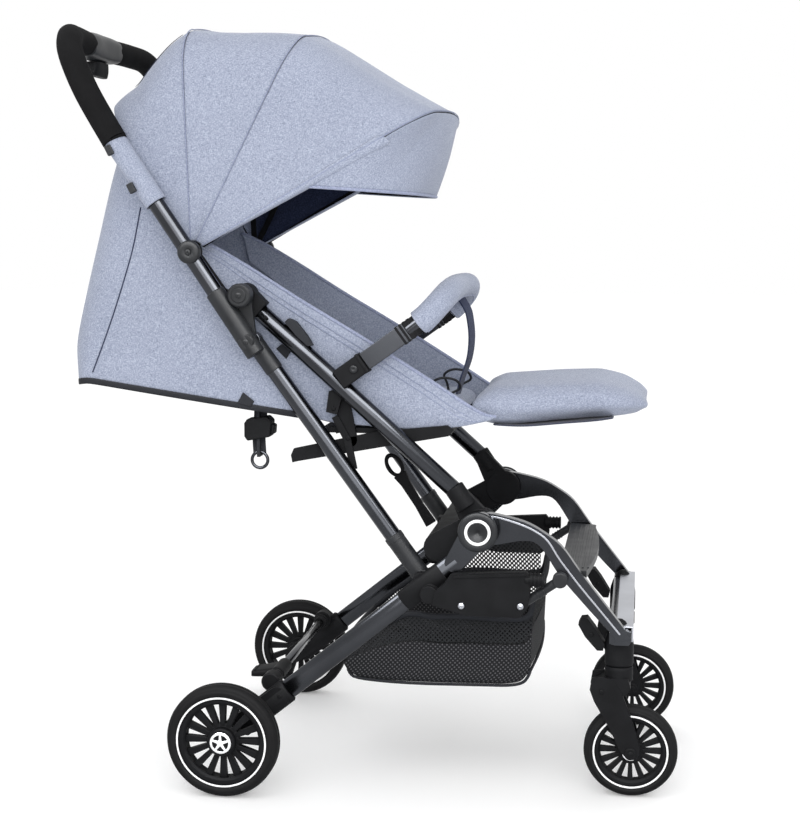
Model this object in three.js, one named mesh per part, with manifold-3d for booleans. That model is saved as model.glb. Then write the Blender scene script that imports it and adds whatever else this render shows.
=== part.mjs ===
// Folding baby stroller. Millimetres, +X forwards, +Y to the child's left, +Z up.
// The parts are placed from the rear wheel axis (x = 0) and the floor (z = 0); the whole
// group is then moved back so that the origin is under the middle of the stroller.

import * as THREE from 'three';
import { mergeVertices } from 'three/addons/utils/BufferGeometryUtils.js';
import Module from 'manifold-3d';

const wasm = await Module();
wasm.setup();

// ---------- driving dimensions ----------

const MIDDLE_X = 175.3; // middle of the length, ahead of the rear wheel axis
const GAP = 0.3; // clearance between touching pieces

const REAR_WHEEL = { radius: 76, width: 30, ring: 60.6, hub: 16, bore: 5.3, y: 235 };
const FRONT_WHEEL = { radius: 62, width: 26, ring: 49, hub: 12, bore: 4.3, y: 150 };
const SPOKES = 16;

// pivots in the side view, as x and z
const FOLD_PIVOT = [20, 664]; // handle bracket on the side tube's top block
const LINK_TOP = [29, 603]; // open pivot, handle bracket to link tube
const HUB = [334, 359]; // rear leg and front leg on the side frame
const LINK_FOOT = [258, 289]; // link tube on the rear leg
const BRACE_REAR = [271, 275]; // folding brace on the rear leg
const BRACE_KNEE = [389, 262]; // middle joint of the folding brace
const BRACE_FRONT = [441, 298]; // open pivot, folding brace to front leg
const CANOPY_PIVOT = [-51, 720];
const VISOR_PIVOT = [100.6, 807.5];
const RECLINE_PIVOT = [110, 497];
const LEG_REST_PIVOT = [304, 506];
const REAR_AXLE = [51, 140]; // cross axle that carries the brake pedal
const FORK_PIVOT_X = 518; // swivel axis of the front casters
const FRONT_AXLE_X = 535;

// layers across the width, as distances from the middle plane
const FRAME_Y = 165; // side tubes and link tubes
const FRONT_LEG_Y = [167.6, 181];
const REAR_LEG_Y = 188;
const HANDLE_Y = 193;
const BUMPER_Y = 168;
const SEAT_HALF_WIDTH = 141.5;
const COVER_HALF_WIDTH = 175.5;

// bows of the canopy: angle above the horizontal, reach from the pivot, half width
const BOWS = [
  { name: 'canopy_bow_rear', angle: 92, reach: 298, half: 161 },
  { name: 'canopy_bow_middle', angle: 63, reach: 314, half: 163.6 },
  { name: 'canopy_bow_front', angle: 30, reach: 378, half: 166.2 },
];
const VISOR = { reach: 156, half: 157 };
const BOW_STRIP = [2.2, 8]; // thickness and width
const HOOP_POWER = 0.42; // below 1 squares the hoop's shoulders

const SIDES = [
  { name: 'right', s: -1 },
  { name: 'left', s: 1 },
];

// ---------- materials ----------

const metalTube = { color: 0x3a3d42, roughness: 0.22, metalness: 0.9 };
const lightMetal = { color: 0xb9bcc2, roughness: 0.35, metalness: 0.8 };
const blackPlastic = { color: 0x17181a, roughness: 0.5, metalness: 0 };
const foam = { color: 0x121314, roughness: 0.95, metalness: 0 };
const rubber = { color: 0x18191a, roughness: 0.75, metalness: 0 };
const greyFabric = { color: 0xaab2cc, roughness: 0.95, metalness: 0 };
const navyFabric = { color: 0x232a40, roughness: 0.95, metalness: 0 };
const meshFabric = { color: 0x1b1c20, roughness: 0.9, metalness: 0 };
const greyPlastic = { color: 0x4c4f55, roughness: 0.5, metalness: 0 };

// ---------- solids and booleans ----------

function bare(geometry) {
  const copy = geometry.clone();
  copy.deleteAttribute('normal');
  copy.deleteAttribute('uv');
  return mergeVertices(copy, 1e-3);
}

function toSolid(geometry) {
  const merged = bare(geometry);
  const corners = [...merged.index.array];
  const kept = [];
  for (let i = 0; i < corners.length; i += 3) {
    const [a, b, c] = corners.slice(i, i + 3);
    if (a !== b && b !== c && a !== c) kept.push(a, b, c);
  }
  const vertProperties = new Float32Array(merged.attributes.position.array);
  const triVerts = new Uint32Array(kept);
  return new wasm.Manifold(new wasm.Mesh({ numProp: 3, vertProperties, triVerts }));
}

function toGeometry(solid) {
  const mesh = solid.getMesh();
  const geometry = new THREE.BufferGeometry();
  geometry.setAttribute('position', new THREE.BufferAttribute(mesh.vertProperties, 3));
  geometry.setIndex(new THREE.BufferAttribute(mesh.triVerts, 1));
  return geometry;
}

const join = (...pieces) => toGeometry(pieces.map(toSolid).reduce((a, b) => a.add(b)));
const cut = (piece, ...tools) => {
  return toGeometry(tools.map(toSolid).reduce((a, b) => a.subtract(b), toSolid(piece)));
};

// ---------- shapes ----------

const direction = (a, b) => Math.atan2(b[1] - a[1], b[0] - a[0]);
const along = (a, b, t) => [a[0] + (b[0] - a[0]) * t, a[1] + (b[1] - a[1]) * t];
const polar = (centre, degrees, reach) => {
  const angle = THREE.MathUtils.degToRad(degrees);
  return [centre[0] + reach * Math.cos(angle), centre[1] + reach * Math.sin(angle)];
};

// a side-view outline made into a plate between two distances across the width
function plate(shape, y0, y1, curveSegments = 6) {
  const depth = Math.abs(y1 - y0);
  const geometry = new THREE.ExtrudeGeometry(shape, { depth, bevelEnabled: false, curveSegments });
  return geometry.rotateX(Math.PI / 2).translate(0, Math.max(y0, y1), 0);
}

const outline = (points) => new THREE.Shape(points.map(([x, z]) => new THREE.Vector2(x, z)));

// a straight bar in side view with round ends of two radii
function bar(a, b, radiusA, radiusB = radiusA) {
  const angle = direction(a, b);
  const shape = new THREE.Shape();
  shape.absarc(b[0], b[1], radiusB, angle - Math.PI / 2, angle + Math.PI / 2, false);
  shape.absarc(a[0], a[1], radiusA, angle + Math.PI / 2, angle + Math.PI * 1.5, false);
  return shape;
}

// a bar of constant width along a smooth side-view curve
function curvedBar(points, width, divisions) {
  const curve = new THREE.SplineCurve(points.map(([x, z]) => new THREE.Vector2(x, z)));
  const upper = [];
  const lower = [];
  for (let i = 0; i <= divisions; i += 1) {
    const at = curve.getPoint(i / divisions);
    const tangent = curve.getTangent(i / divisions);
    const across = new THREE.Vector2(-tangent.y, tangent.x).multiplyScalar(width / 2);
    upper.push(at.clone().add(across));
    lower.unshift(at.clone().sub(across));
  }
  return new THREE.Shape([...upper, ...lower]);
}

function disc([x, z], radius, y0, y1, sides = 14) {
  const geometry = new THREE.CylinderGeometry(radius, radius, Math.abs(y1 - y0), sides);
  return geometry.translate(x, (y0 + y1) / 2, z);
}

function box(x0, x1, y0, y1, z0, z1) {
  const size = [x1 - x0, Math.abs(y1 - y0), z1 - z0];
  return new THREE.BoxGeometry(...size).translate((x0 + x1) / 2, (y0 + y1) / 2, (z0 + z1) / 2);
}

function rod(a, b, radius, sides = 10) {
  const from = new THREE.Vector3(...a);
  const span = new THREE.Vector3(...b).sub(from);
  const geometry = new THREE.CylinderGeometry(radius, radius, span.length(), sides);
  const turn = new THREE.Quaternion().setFromUnitVectors(
    new THREE.Vector3(0, 1, 0),
    span.clone().normalize(),
  );
  const middle = from.addScaledVector(span, 0.5);
  return geometry.applyQuaternion(turn).translate(middle.x, middle.y, middle.z);
}

// an upright oval tube between two points of the side view
function ovalTube(a, b, y, high, thick) {
  const round = rod([a[0], 0, a[1]], [b[0], 0, b[1]], high, 14);
  return round.scale(1, thick / high, 1).translate(0, y, 0);
}

// a round section carried along a smooth curve through the points
function bentRod(points, radius, steps, sides = 10) {
  const section = new THREE.Shape().absarc(0, 0, radius, 0, Math.PI * 2, false);
  const extrudePath = new THREE.CatmullRomCurve3(
    points.map((point) => new THREE.Vector3(...point)),
    false,
    'centripetal',
  );
  return new THREE.ExtrudeGeometry(section, { extrudePath, steps, curveSegments: sides / 2 });
}

function turned(profile, sides) {
  const points = [...profile, profile[0]].map(([r, y]) => new THREE.Vector2(r, y));
  return new THREE.LatheGeometry(points, sides);
}

// a thin closed sheet: a box of unit size bent onto surface(u, v) with its own thickness
function bentSheet(surface, thickness, columns, rows) {
  const geometry = new THREE.BoxGeometry(1, 1, 1, columns, rows, 1);
  const place = geometry.attributes.position;
  const step = 1e-3;
  for (let i = 0; i < place.count; i += 1) {
    const u = place.getX(i) + 0.5;
    const v = place.getY(i) + 0.5;
    const at = surface(u, v);
    const alongU = surface(Math.min(u + step, 1), v).sub(surface(Math.max(u - step, 0), v));
    const alongV = surface(u, Math.min(v + step, 1)).sub(surface(u, Math.max(v - step, 0)));
    const normal = alongU.cross(alongV).normalize();
    at.addScaledVector(normal, (place.getZ(i) + 0.5) * thickness);
    place.setXYZ(i, at.x, at.y, at.z);
  }
  return geometry;
}

// ---------- the scene graph ----------

const stroller = new THREE.Group();
stroller.position.x = -MIDDLE_X;

function add(name, geometry, finish) {
  const mesh = new THREE.Mesh(geometry, new THREE.MeshStandardMaterial(finish));
  mesh.name = name;
  stroller.add(mesh);
}

// ---------- side frame ----------

const TUBE_TOP = [42, 638];
const TUBE_FOOT = [303, 405];

const sideTube = (y, start, radius) => {
  const from = along(TUBE_TOP, TUBE_FOOT, start);
  return rod([from[0], y(FRAME_Y), from[1]], [TUBE_FOOT[0], y(FRAME_Y), TUBE_FOOT[1]], radius);
};

function sideFrame({ name, s }) {
  const y = (value) => s * value;
  const socketTop = along(TUBE_FOOT, HUB, 0.05);
  const socketEnd = along(TUBE_FOOT, HUB, 0.42);
  const bolt = { radius: 5, bore: 5.3 };

  add(`side_tube_${name}`, sideTube(y, 0, 11.5), metalTube);

  const topEnd = along(TUBE_TOP, TUBE_FOOT, -0.006);
  const top = join(
    disc(FOLD_PIVOT, 15, y(155), y(177)),
    rod([FOLD_PIVOT[0] + 2, y(FRAME_Y), FOLD_PIVOT[1] - 8], [topEnd[0], y(FRAME_Y), topEnd[1]], 12.5),
    plate(bar(FOLD_PIVOT, CANOPY_PIVOT, 11, 10), y(170.4), y(174.8)),
  );
  add(`top_block_${name}`, cut(top, disc(FOLD_PIVOT, bolt.bore, y(150), y(180))), blackPlastic);

  const hub = join(
    disc(HUB, 27, y(154), y(167), 20),
    plate(bar(HUB, [278, 330], 22, 20), y(154), y(164)),
    plate(bar(HUB, socketTop, 22, 9), y(154), y(167)),
    rod([socketEnd[0], y(FRAME_Y), socketEnd[1]], [socketTop[0], y(FRAME_Y), socketTop[1]], 12.6),
    disc(HUB, bolt.radius, y(160), y(196)),
  );
  add(`hub_block_${name}`, cut(hub, sideTube(y, 0.9, 11.9)), blackPlastic);

  bumperSocket(name, y);
}

// receiver on top of the side tube for one arm of the bumper bar, with a release button
const BUMPER_FOOT = [154, 558];
const BUMPER_SHOULDER = [246, 624];
const ARM_HALF_HEIGHT = 12.4;
const TONGUE_RADIUS = 6.5;
const SOCKET_LENGTH = 0.28; // of the arm

// a straight length of the bumper's arm in side view, from t0 to t1
function armLength(t0, t1) {
  const half = new THREE.Vector2(BUMPER_SHOULDER[1] - BUMPER_FOOT[1], BUMPER_FOOT[0] - BUMPER_SHOULDER[0]);
  half.setLength(ARM_HALF_HEIGHT);
  const [from, to] = [along(BUMPER_FOOT, BUMPER_SHOULDER, t0), along(BUMPER_FOOT, BUMPER_SHOULDER, t1)];
  return outline([
    [from[0] + half.x, from[1] + half.y], [to[0] + half.x, to[1] + half.y],
    [to[0] - half.x, to[1] - half.y], [from[0] - half.x, from[1] - half.y],
  ]);
}

function armRod(y, t0, t1, radius) {
  const [from, to] = [along(BUMPER_FOOT, BUMPER_SHOULDER, t0), along(BUMPER_FOOT, BUMPER_SHOULDER, t1)];
  return rod([from[0], y(BUMPER_Y), from[1]], [to[0], y(BUMPER_Y), to[1]], radius);
}

function bumperSocket(name, y) {
  const button = along(BUMPER_FOOT, BUMPER_SHOULDER, 0.15);
  const shell = plate(armLength(-0.08, SOCKET_LENGTH), y(158), y(181));
  const bore = armRod(y, 0.04, 0.5, TONGUE_RADIUS + 0.4);
  const well = disc(button, 5.6, y(176.3), y(190));
  add(`bumper_socket_${name}`, cut(shell, sideTube(y, 0, 11.8), bore, well), blackPlastic);
  add(`bumper_button_${name}`, disc(button, 5.2, y(179.5), y(183.5)), greyPlastic);
}

SIDES.forEach(sideFrame);

add('cross_member', join(
  box(262, 298, -153.6, 153.6, 312, 342),
  box(256, 268, -12, 12, 322, 342),
), blackPlastic);

// two rails under the seat, tied by the seat board, each hung from its side tube by a bracket
function seatFrame() {
  const rails = SIDES.map(({ s }) => plate(bar([86, 450], [286, 484], 9), s * 146, s * 153));
  const hangers = SIDES.map(({ s }) => plate(bar([144, 536], [158, 468], 11, 10), s * 146, s * 153.1));
  const board = box(118, 292, -147, 147, 479, 488);
  return join(board, ...rails, ...hangers);
}

add('seat_frame', seatFrame(), blackPlastic);

// seat sling: padded bottom and two fabric sides up to the arm rest line
function seatSling() {
  const side = outline([
    [-14, 712], [24, 700], [87, 656], [184, 600], [212, 588], [322, 512], [336, 504],
    [292, 492], [118, 492], [70, 520], [24, 600], [-6, 660],
  ]);
  const pad = box(122, 292, -SEAT_HALF_WIDTH - 1, SEAT_HALF_WIDTH + 1, 489, 514);
  const sides = SIDES.map(({ s }) => plate(side, s * SEAT_HALF_WIDTH, s * (SEAT_HALF_WIDTH + 3.4)));
  return join(pad, ...sides);
}

add('seat_sling', seatSling(), greyFabric);

// pull lever with a finger hole, in the middle of the cross member
const LEVER_FOOT = [246, 330];
const LEVER_TOP = [186, 424];
const leverHole = new THREE.Path();
leverHole.absellipse(...along(LEVER_FOOT, LEVER_TOP, 0.88), 4, 10, 0, Math.PI * 2, true, 0.57);
const leverShape = bar(LEVER_FOOT, LEVER_TOP, 9, 11);
leverShape.holes.push(leverHole);
add('pull_lever', plate(leverShape, -3.5, 3.5), blackPlastic);

// ---------- handle ----------

const HANDLE_FOOT = [31, 600];
const HANDLE_BEND = [-150, 869];
const CANOPY_CLIP = [-46, 720];
const GRIP_START = 0.93; // along the straight part
const HANDLE_STEPS = 34;
const GRIP_STEPS = 22;

const handleArm = (s) => [
  [HANDLE_BEND[0], s * HANDLE_Y, HANDLE_BEND[1]],
  [-184, s * HANDLE_Y, 928],
  [-206, s * 187, 976],
  [-218, s * 160, 1001],
  [-229, s * 112, 1007],
];
const HANDLE_TOP = [[-238, 0, 1007]];

const handlePath = (start) => [
  [start[0], -HANDLE_Y, start[1]],
  ...handleArm(-1),
  ...HANDLE_TOP,
  ...handleArm(1).reverse(),
  [start[0], HANDLE_Y, start[1]],
];

// the tube carries a round clip for the canopy on the outside of each arm
const handleTube = bentRod(handlePath(HANDLE_FOOT), 11, HANDLE_STEPS);
const canopyClips = SIDES.map(({ s }) => disc(CANOPY_CLIP, 15, s * 197, s * 209, 16));
add('handle_tube', join(handleTube, ...canopyClips), metalTube);
const gripStart = along(HANDLE_FOOT, HANDLE_BEND, GRIP_START);
const gripBore = bentRod(handlePath(HANDLE_FOOT), 11 + GAP, HANDLE_STEPS);
const grip = cut(bentRod(handlePath(gripStart), 14, GRIP_STEPS), gripBore);
add('handle_grip', grip, foam);

const housing = cut(
  join(box(-257, -219, -56, 56, 988, 1026), box(-251, -225, -34, 34, 982, 990)),
  bentRod(handlePath(gripStart), 14 + GAP, GRIP_STEPS),
  box(-247, -229, -27, 27, 975, 991),
);
add('handle_housing', housing, greyPlastic);
add('fold_trigger', join(
  box(-246, -230, -26, 26, 974, 984),
  box(-248, -228, -30, 30, 966, 975),
), greyPlastic);

// sleeve on the foot of each handle arm, with an inner ear that carries the fold pivot
function handleBracket({ name, s }) {
  const y = (value) => s * value;
  const sleeveTop = along(HANDLE_FOOT, HANDLE_BEND, 0.25);
  const body = join(
    plate(bar(HANDLE_FOOT, sleeveTop, 13.6), y(179.4), y(206.6)),
    plate(bar(HANDLE_FOOT, FOLD_PIVOT, 14, 15), y(177.6), y(184)),
    disc(FOLD_PIVOT, 10, y(183), y(200)),
    disc(FOLD_PIVOT, 5, y(158), y(180)),
  );
  const above = along(HANDLE_FOOT, HANDLE_BEND, 0.5);
  const below = along(HANDLE_FOOT, HANDLE_BEND, -0.01);
  const bore = rod([below[0], y(HANDLE_Y), below[1]], [above[0], y(HANDLE_Y), above[1]], 12);
  add(`handle_bracket_${name}`, cut(body, bore), blackPlastic);
}

SIDES.forEach(handleBracket);

// ---------- wheels ----------

function wheel(name, side, size, x) {
  const { radius, width, ring, hub, bore } = size;
  const half = width / 2;
  const tyre = turned([
    [ring + 0.4, -half + 3], [ring + 4, -half], [radius - 4, -half + 2], [radius - 0.6, -half + 8],
    [radius - 0.6, half - 8], [radius - 4, half - 2], [ring + 4, half], [ring + 0.4, half - 3],
  ], 24);
  const rim = turned([
    [ring - 6, -half + 5], [ring, -half + 4], [ring, half - 4], [ring - 6, half - 5],
  ], 24);
  const barrel = turned([[bore, -half], [hub, -half], [hub, half], [bore, half]], 12);
  const spokes = Array.from({ length: SPOKES }, (_, k) => {
    const spoke = new THREE.BoxGeometry(ring - hub - 1, 6, 4.2).translate((ring + hub - 4) / 2, 0, 0);
    return spoke.rotateY((k * Math.PI * 2) / SPOKES);
  });
  const at = [x, side.s * size.y, radius];
  add(`${name}_tyre_${side.name}`, tyre.translate(...at), rubber);
  add(`${name}_rim_${side.name}`, join(rim, barrel, ...spokes).translate(...at), blackPlastic);
}

// ---------- rear legs ----------

const LEG_LOW = [0, 71]; // axis of the rear leg's tube, which passes under the hub
const LEG_HIGH = [326, 335];
const LEG_TUBE = { high: 13.3, thick: 6.5 };

function rearLeg(side) {
  const { name, s } = side;
  const y = (value) => s * value;
  const wheelCentre = [0, REAR_WHEEL.radius];
  const tubeTop = along(LEG_LOW, LEG_HIGH, 0.94);
  const tubeEnd = along(LEG_LOW, LEG_HIGH, 0.17);
  const leg = join(
    disc(HUB, 25, y(181.6), y(194.5), 20),
    plate(bar(HUB, tubeTop, 21, 13.3), y(181.6), y(194.5)),
    ovalTube(tubeTop, tubeEnd, y(REAR_LEG_Y), LEG_TUBE.high, LEG_TUBE.thick),
    disc(LINK_FOOT, 12, y(178.2), y(188)),
    disc(BRACE_REAR, 13, y(182), y(197.4)),
  );
  add(`rear_leg_${name}`, cut(leg, disc(HUB, 5.3, y(178), y(205))), metalTube);

  const foot = join(
    plate(bar(wheelCentre, along(LEG_LOW, LEG_HIGH, 0.22), 13, 16.4), y(177.4), y(199)),
    disc(REAR_AXLE, 13, y(160), y(179)),
    disc(wheelCentre, 13, y(198), y(218)),
    disc(wheelCentre, 5, y(210), y(249)),
  );
  const wellEnd = along(LEG_LOW, LEG_HIGH, 0.168);
  const well = ovalTube(tubeTop, wellEnd, y(REAR_LEG_Y), LEG_TUBE.high + 0.5, LEG_TUBE.thick + 0.5);
  add(`rear_foot_${name}`, cut(foot, well), blackPlastic);
  wheel('rear', side, REAR_WHEEL, 0);
}

SIDES.forEach(rearLeg);
add('rear_axle', disc(REAR_AXLE, 6, -159.6, 159.6, 14), metalTube);

const pedalTip = [14, 132];
add('brake_pedal', cut(
  join(disc(REAR_AXLE, 10, -140, -92, 16), plate(bar(REAR_AXLE, pedalTip, 5, 4), -136, -96)),
  disc(REAR_AXLE, 6.3, -150, -80, 16),
), blackPlastic);

// link tube from the handle bracket down to the rear leg
function linkTube({ name, s }) {
  const y = (value) => s * value;
  const sleeveTop = along(LINK_TOP, LINK_FOOT, 0.84);
  const geometry = join(
    disc(LINK_TOP, 12, y(156), y(174)),
    rod([LINK_TOP[0], y(FRAME_Y), LINK_TOP[1]], [LINK_FOOT[0], y(FRAME_Y), LINK_FOOT[1]], 11.2),
    rod([sleeveTop[0], y(FRAME_Y), sleeveTop[1]], [LINK_FOOT[0], y(FRAME_Y), LINK_FOOT[1]], 12.4),
    disc(LINK_FOOT, 13, y(156), y(177.6)),
  );
  add(`link_tube_${name}`, geometry, metalTube);
}

SIDES.forEach(linkTube);

// folding brace between the legs: a flat box from the rear leg and a rod to the front leg
function brace({ name, s }) {
  const y = (value) => s * value;
  const boxShape = outline([
    [BRACE_REAR[0] + 14, 290], [292, 302], [402, 306], [402, 250], [292, 247], [BRACE_REAR[0] + 4, 264],
  ]);
  const flatBox = join(plate(boxShape, y(198), y(209)), disc(BRACE_REAR, 12, y(198), y(206)));
  add(`brace_box_${name}`, flatBox, blackPlastic);
  const [knee, front] = [BRACE_KNEE, BRACE_FRONT];
  const link = join(
    disc(knee, 9, y(184), y(197.4)),
    rod([knee[0], y(190), knee[1]], [front[0], y(190), front[1]], 6),
    disc(front, 9, y(182), y(196)),
  );
  add(`brace_rod_${name}`, link, metalTube);
}

SIDES.forEach(brace);

// ---------- front legs ----------

const FRONT_LEG_LINE = [[345, 361], [392, 359], [432, 336], [464, 293], [519, 222]];

function frontFrame() {
  const halves = SIDES.flatMap(({ s }) => {
    const y = (value) => s * value;
    return [
      plate(curvedBar(FRONT_LEG_LINE, 24, 9), y(FRONT_LEG_Y[0]), y(FRONT_LEG_Y[1])),
      disc(HUB, 24, y(FRONT_LEG_Y[0]), y(FRONT_LEG_Y[1])),
      disc(LEG_SOCKET, 19, y(168.2), y(180.4)),
      new THREE.CylinderGeometry(18, 18, 34, 16).rotateX(Math.PI / 2)
        .translate(FORK_PIVOT_X, y(FRONT_WHEEL.y), 195),
    ];
  });
  const bores = SIDES.map(({ s }) => disc(HUB, 5.3, s * 150, s * 190));
  return cut(join(box(505, 533, -181, 181, 211, 231), ...halves), ...bores);
}

const LEG_SOCKET = [360, 361];
add('front_frame', frontFrame(), metalTube);
// bright angle strip that covers the top edge and the face of the bar between the legs
const stripSection = outline([
  [533.3, 213], [536, 213], [536, 233.4], [514, 233.4], [514, 231.3], [533.3, 231.3],
]);
add('front_strip', plate(stripSection, -167, 167), lightMetal);

const tread = new THREE.Shape();
tread.moveTo(438, -166);
tread.lineTo(474, -166);
tread.quadraticCurveTo(488, 0, 474, 166);
tread.lineTo(438, 166);
const treadPlate = new THREE.ExtrudeGeometry(tread, { depth: 10, bevelEnabled: false, curveSegments: 8 });
add('footboard', treadPlate.translate(0, 0, 296), blackPlastic);

// front caster: swivelling fork with its axle
function caster(side) {
  const { name, s } = side;
  const centre = s * FRONT_WHEEL.y;
  const axle = [FRONT_AXLE_X, FRONT_WHEEL.radius];
  const boss = [494, 142];
  const arm = outline([
    [484, 132], [497, 112], [521, 78], [525, 58], [535, 52], [545, 60], [546, 72], [538, 92],
    [528, 132], [534, 150], [528, 164], [500, 162], [482, 148],
  ]);
  const arms = [-1, 1].map((side2) => plate(arm, centre + side2 * 14, centre + side2 * 19.5));
  const fork = join(
    ...arms,
    box(488, 530, centre - 18, centre + 18, 138, 162),
    new THREE.CylinderGeometry(17, 17, 20, 16).rotateX(Math.PI / 2).translate(FORK_PIVOT_X, centre, 167.6),
    disc(boss, 12, centre - 21, centre + 21, 16),
    disc(axle, 4, centre - 22, centre + 22, 12),
  );
  add(`caster_fork_${name}`, fork, blackPlastic);

  const lever = bar([494, 203], [468, 236], 6, 5);
  add(`swivel_lock_${name}`, plate(lever, centre - 11, centre + 11), greyPlastic);
  wheel('front', side, FRONT_WHEEL, FRONT_AXLE_X);
}

SIDES.forEach(caster);

// ---------- canopy ----------

// a point on a hoop that stands on the pivot line: t runs from 0 on the right to 1 on the left
function hoopPoint({ angle, reach, half }, t) {
  const turn = t * Math.PI;
  const across = -Math.sign(Math.cos(turn)) * Math.abs(Math.cos(turn)) ** HOOP_POWER * half;
  const [x, z] = polar(CANOPY_PIVOT, angle, Math.abs(Math.sin(turn)) ** HOOP_POWER * reach);
  return new THREE.Vector3(x, across, z);
}

function strip(points, steps) {
  const [thick, wide] = BOW_STRIP;
  const section = outline([
    [-thick / 2, -wide / 2], [thick / 2, -wide / 2], [thick / 2, wide / 2], [-thick / 2, wide / 2],
  ]);
  const extrudePath = new THREE.CatmullRomCurve3(points, false, 'centripetal');
  return new THREE.ExtrudeGeometry(section, { extrudePath, steps });
}

const HOOP_POINTS = 24;
const hoopTimes = Array.from({ length: HOOP_POINTS + 1 }, (_, k) => k / HOOP_POINTS);

function bow(spec) {
  const hoop = strip(hoopTimes.map((t) => hoopPoint(spec, t)), 22);
  const ends = SIDES.map(({ s }) => disc(CANOPY_PIVOT, 9, s * (spec.half - 1.1), s * (spec.half + 1.1), 16));
  add(spec.name, join(hoop, ...ends), blackPlastic);
}

BOWS.forEach(bow);

// the visor's rim lies almost level and is hinged on the legs of the front bow
function visorPoint(t, reach = VISOR.reach, half = VISOR.half) {
  const turn = t * Math.PI;
  const across = -Math.sign(Math.cos(turn)) * Math.abs(Math.cos(turn)) ** 0.6 * half;
  const ahead = Math.abs(Math.sin(turn)) ** 0.7 * reach;
  return new THREE.Vector3(VISOR_PIVOT[0] + ahead, across, VISOR_PIVOT[1] - ahead * 0.065);
}

const visorEnds = SIDES.map(({ s }) => disc(VISOR_PIVOT, 8, s * (VISOR.half - 1.1), s * (VISOR.half + 1.1), 14));
add('visor_bow', join(strip(hoopTimes.map((t) => visorPoint(t)), 22), ...visorEnds), blackPlastic);

// reach of the cover from the pivot, by angle
const COVER_LINE = new THREE.SplineCurve([
  [30, 384], [34, 374], [40, 357], [47, 342], [55, 330], [63, 321], [75, 306], [92, 305], [104, 286], [117, 252],
].map(([angle, reach]) => new THREE.Vector2(angle, reach)));

function coverPoint(u, v) {
  const { x: angle, y: reach } = COVER_LINE.getPoint(1 - u);
  return hoopPoint({ angle, reach, half: COVER_HALF_WIDTH }, v);
}

function canopyCover() {
  const edge = 0.012; // keeps the sheet's lower corners off the pivot itself
  const main = bentSheet((u, v) => coverPoint(u, edge + v * (1 - 2 * edge)), 2.5, 10, 18);
  const side = 0.075; // where the visor leaves the front bow's legs
  const visor = bentSheet((u, v) => {
    const root = coverPoint(0.998, side + v * (1 - 2 * side));
    const rim = visorPoint(v, VISOR.reach + 5, COVER_HALF_WIDTH - 2).add(new THREE.Vector3(0, 0, -2));
    const at = root.lerp(rim, u);
    const swell = Math.sin(u * Math.PI) * 14 * Math.sin(v * Math.PI);
    return at.add(new THREE.Vector3(swell, 0, swell * 0.5));
  }, 2.5, 3, 18);
  return join(main, visor);
}

add('canopy_cover', canopyCover(), greyFabric);

// ---------- backrest and its enclosure ----------

const BOARD_REAR = [-184, 543];
const RECLINE_STRAP_X = 27;
const RECLINE_STRAP_Y = -128;

function backrestBoard() {
  const board = plate(bar(along(RECLINE_PIVOT, BOARD_REAR, 0.02), BOARD_REAR, 4), -140, 140);
  const tail = box(RECLINE_STRAP_X - 2, RECLINE_STRAP_X + 2, -137, -119, 442, 508);
  const eye = box(RECLINE_STRAP_X - 4, RECLINE_STRAP_X + 4, -132, -124, 445, 451);
  return join(board, cut(tail, eye));
}

add('backrest_board', backrestBoard(), blackPlastic);

const ring = new THREE.TorusGeometry(11, 1.8, 6, 14).rotateX(Math.PI / 2);
add('recline_ring', ring.translate(RECLINE_STRAP_X, RECLINE_STRAP_Y, 436.8), lightMetal);

const slope = direction(RECLINE_PIVOT, BOARD_REAR);
const lift = 17;
const padLine = (t) => {
  const [x, z] = along(RECLINE_PIVOT, BOARD_REAR, t);
  return [x + Math.sin(slope) * lift, z - Math.cos(slope) * lift];
};
add('backrest_pad', plate(bar(padLine(0.08), padLine(0.93), 12), -136, 136, 5), navyFabric);

// the fabric tub behind and beside the backrest, open at the top, front and bottom
function enclosurePoint(u, v) {
  const front = [THREE.MathUtils.lerp(100, -62, v), THREE.MathUtils.lerp(506, 716, v)];
  const corner = [THREE.MathUtils.lerp(-196, -128, v ** 1.3), THREE.MathUtils.lerp(552, 916, v)];
  const back = [-231 + 66 * v ** 1.5 + 8 * (1 - v) ** 6, THREE.MathUtils.lerp(546, 920, v)];
  const half = 150.9;
  const turnStart = 0.32;
  const fromMiddle = Math.abs(u - 0.5) * 2;
  const s = Math.sign(u - 0.5);
  if (fromMiddle > 1 - turnStart * 2) {
    const t = (fromMiddle - (1 - turnStart * 2)) / (turnStart * 2);
    const [x, z] = along(corner, front, t);
    return new THREE.Vector3(x, s * half, z);
  }
  const t = fromMiddle / (1 - turnStart * 2);
  const [x, z] = along(back, corner, 1 - Math.sqrt(1 - t * t));
  return new THREE.Vector3(x, s * half * t ** 0.8, z);
}

add('back_enclosure', bentSheet(enclosurePoint, 2.6, 20, 5), greyFabric);

// ---------- leg rest, bumper bar, basket ----------

function legRest() {
  const shape = new THREE.Shape();
  shape.moveTo(316, 500);
  shape.lineTo(322, 492);
  shape.lineTo(500, 503);
  shape.quadraticCurveTo(556, 507, 556, 518);
  shape.quadraticCurveTo(550, 540, 480, 543);
  shape.lineTo(330, 536);
  shape.quadraticCurveTo(316, 532, 316, 520);
  return join(plate(shape, -141, 141, 6), plate(bar(LEG_REST_PIVOT, [326, 508], 6), -120, 120, 4));
}

add('leg_rest', legRest(), greyFabric);

const BUMPER_STEPS = 22;
const BAR_RADIUS = 9;
const PAD_RADIUS = 16.8;
const shoulder = (s, t) => [...along(BUMPER_FOOT, BUMPER_SHOULDER, t)].toSpliced(1, 0, s * BUMPER_Y);
const bumperBend = (s) => [
  [263, s * 167, 638], [277, s * 155, 654], [284, s * 125, 665], [286, s * 80, 670],
];
const BUMPER_MIDDLE = [284, 0, 671];

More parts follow.
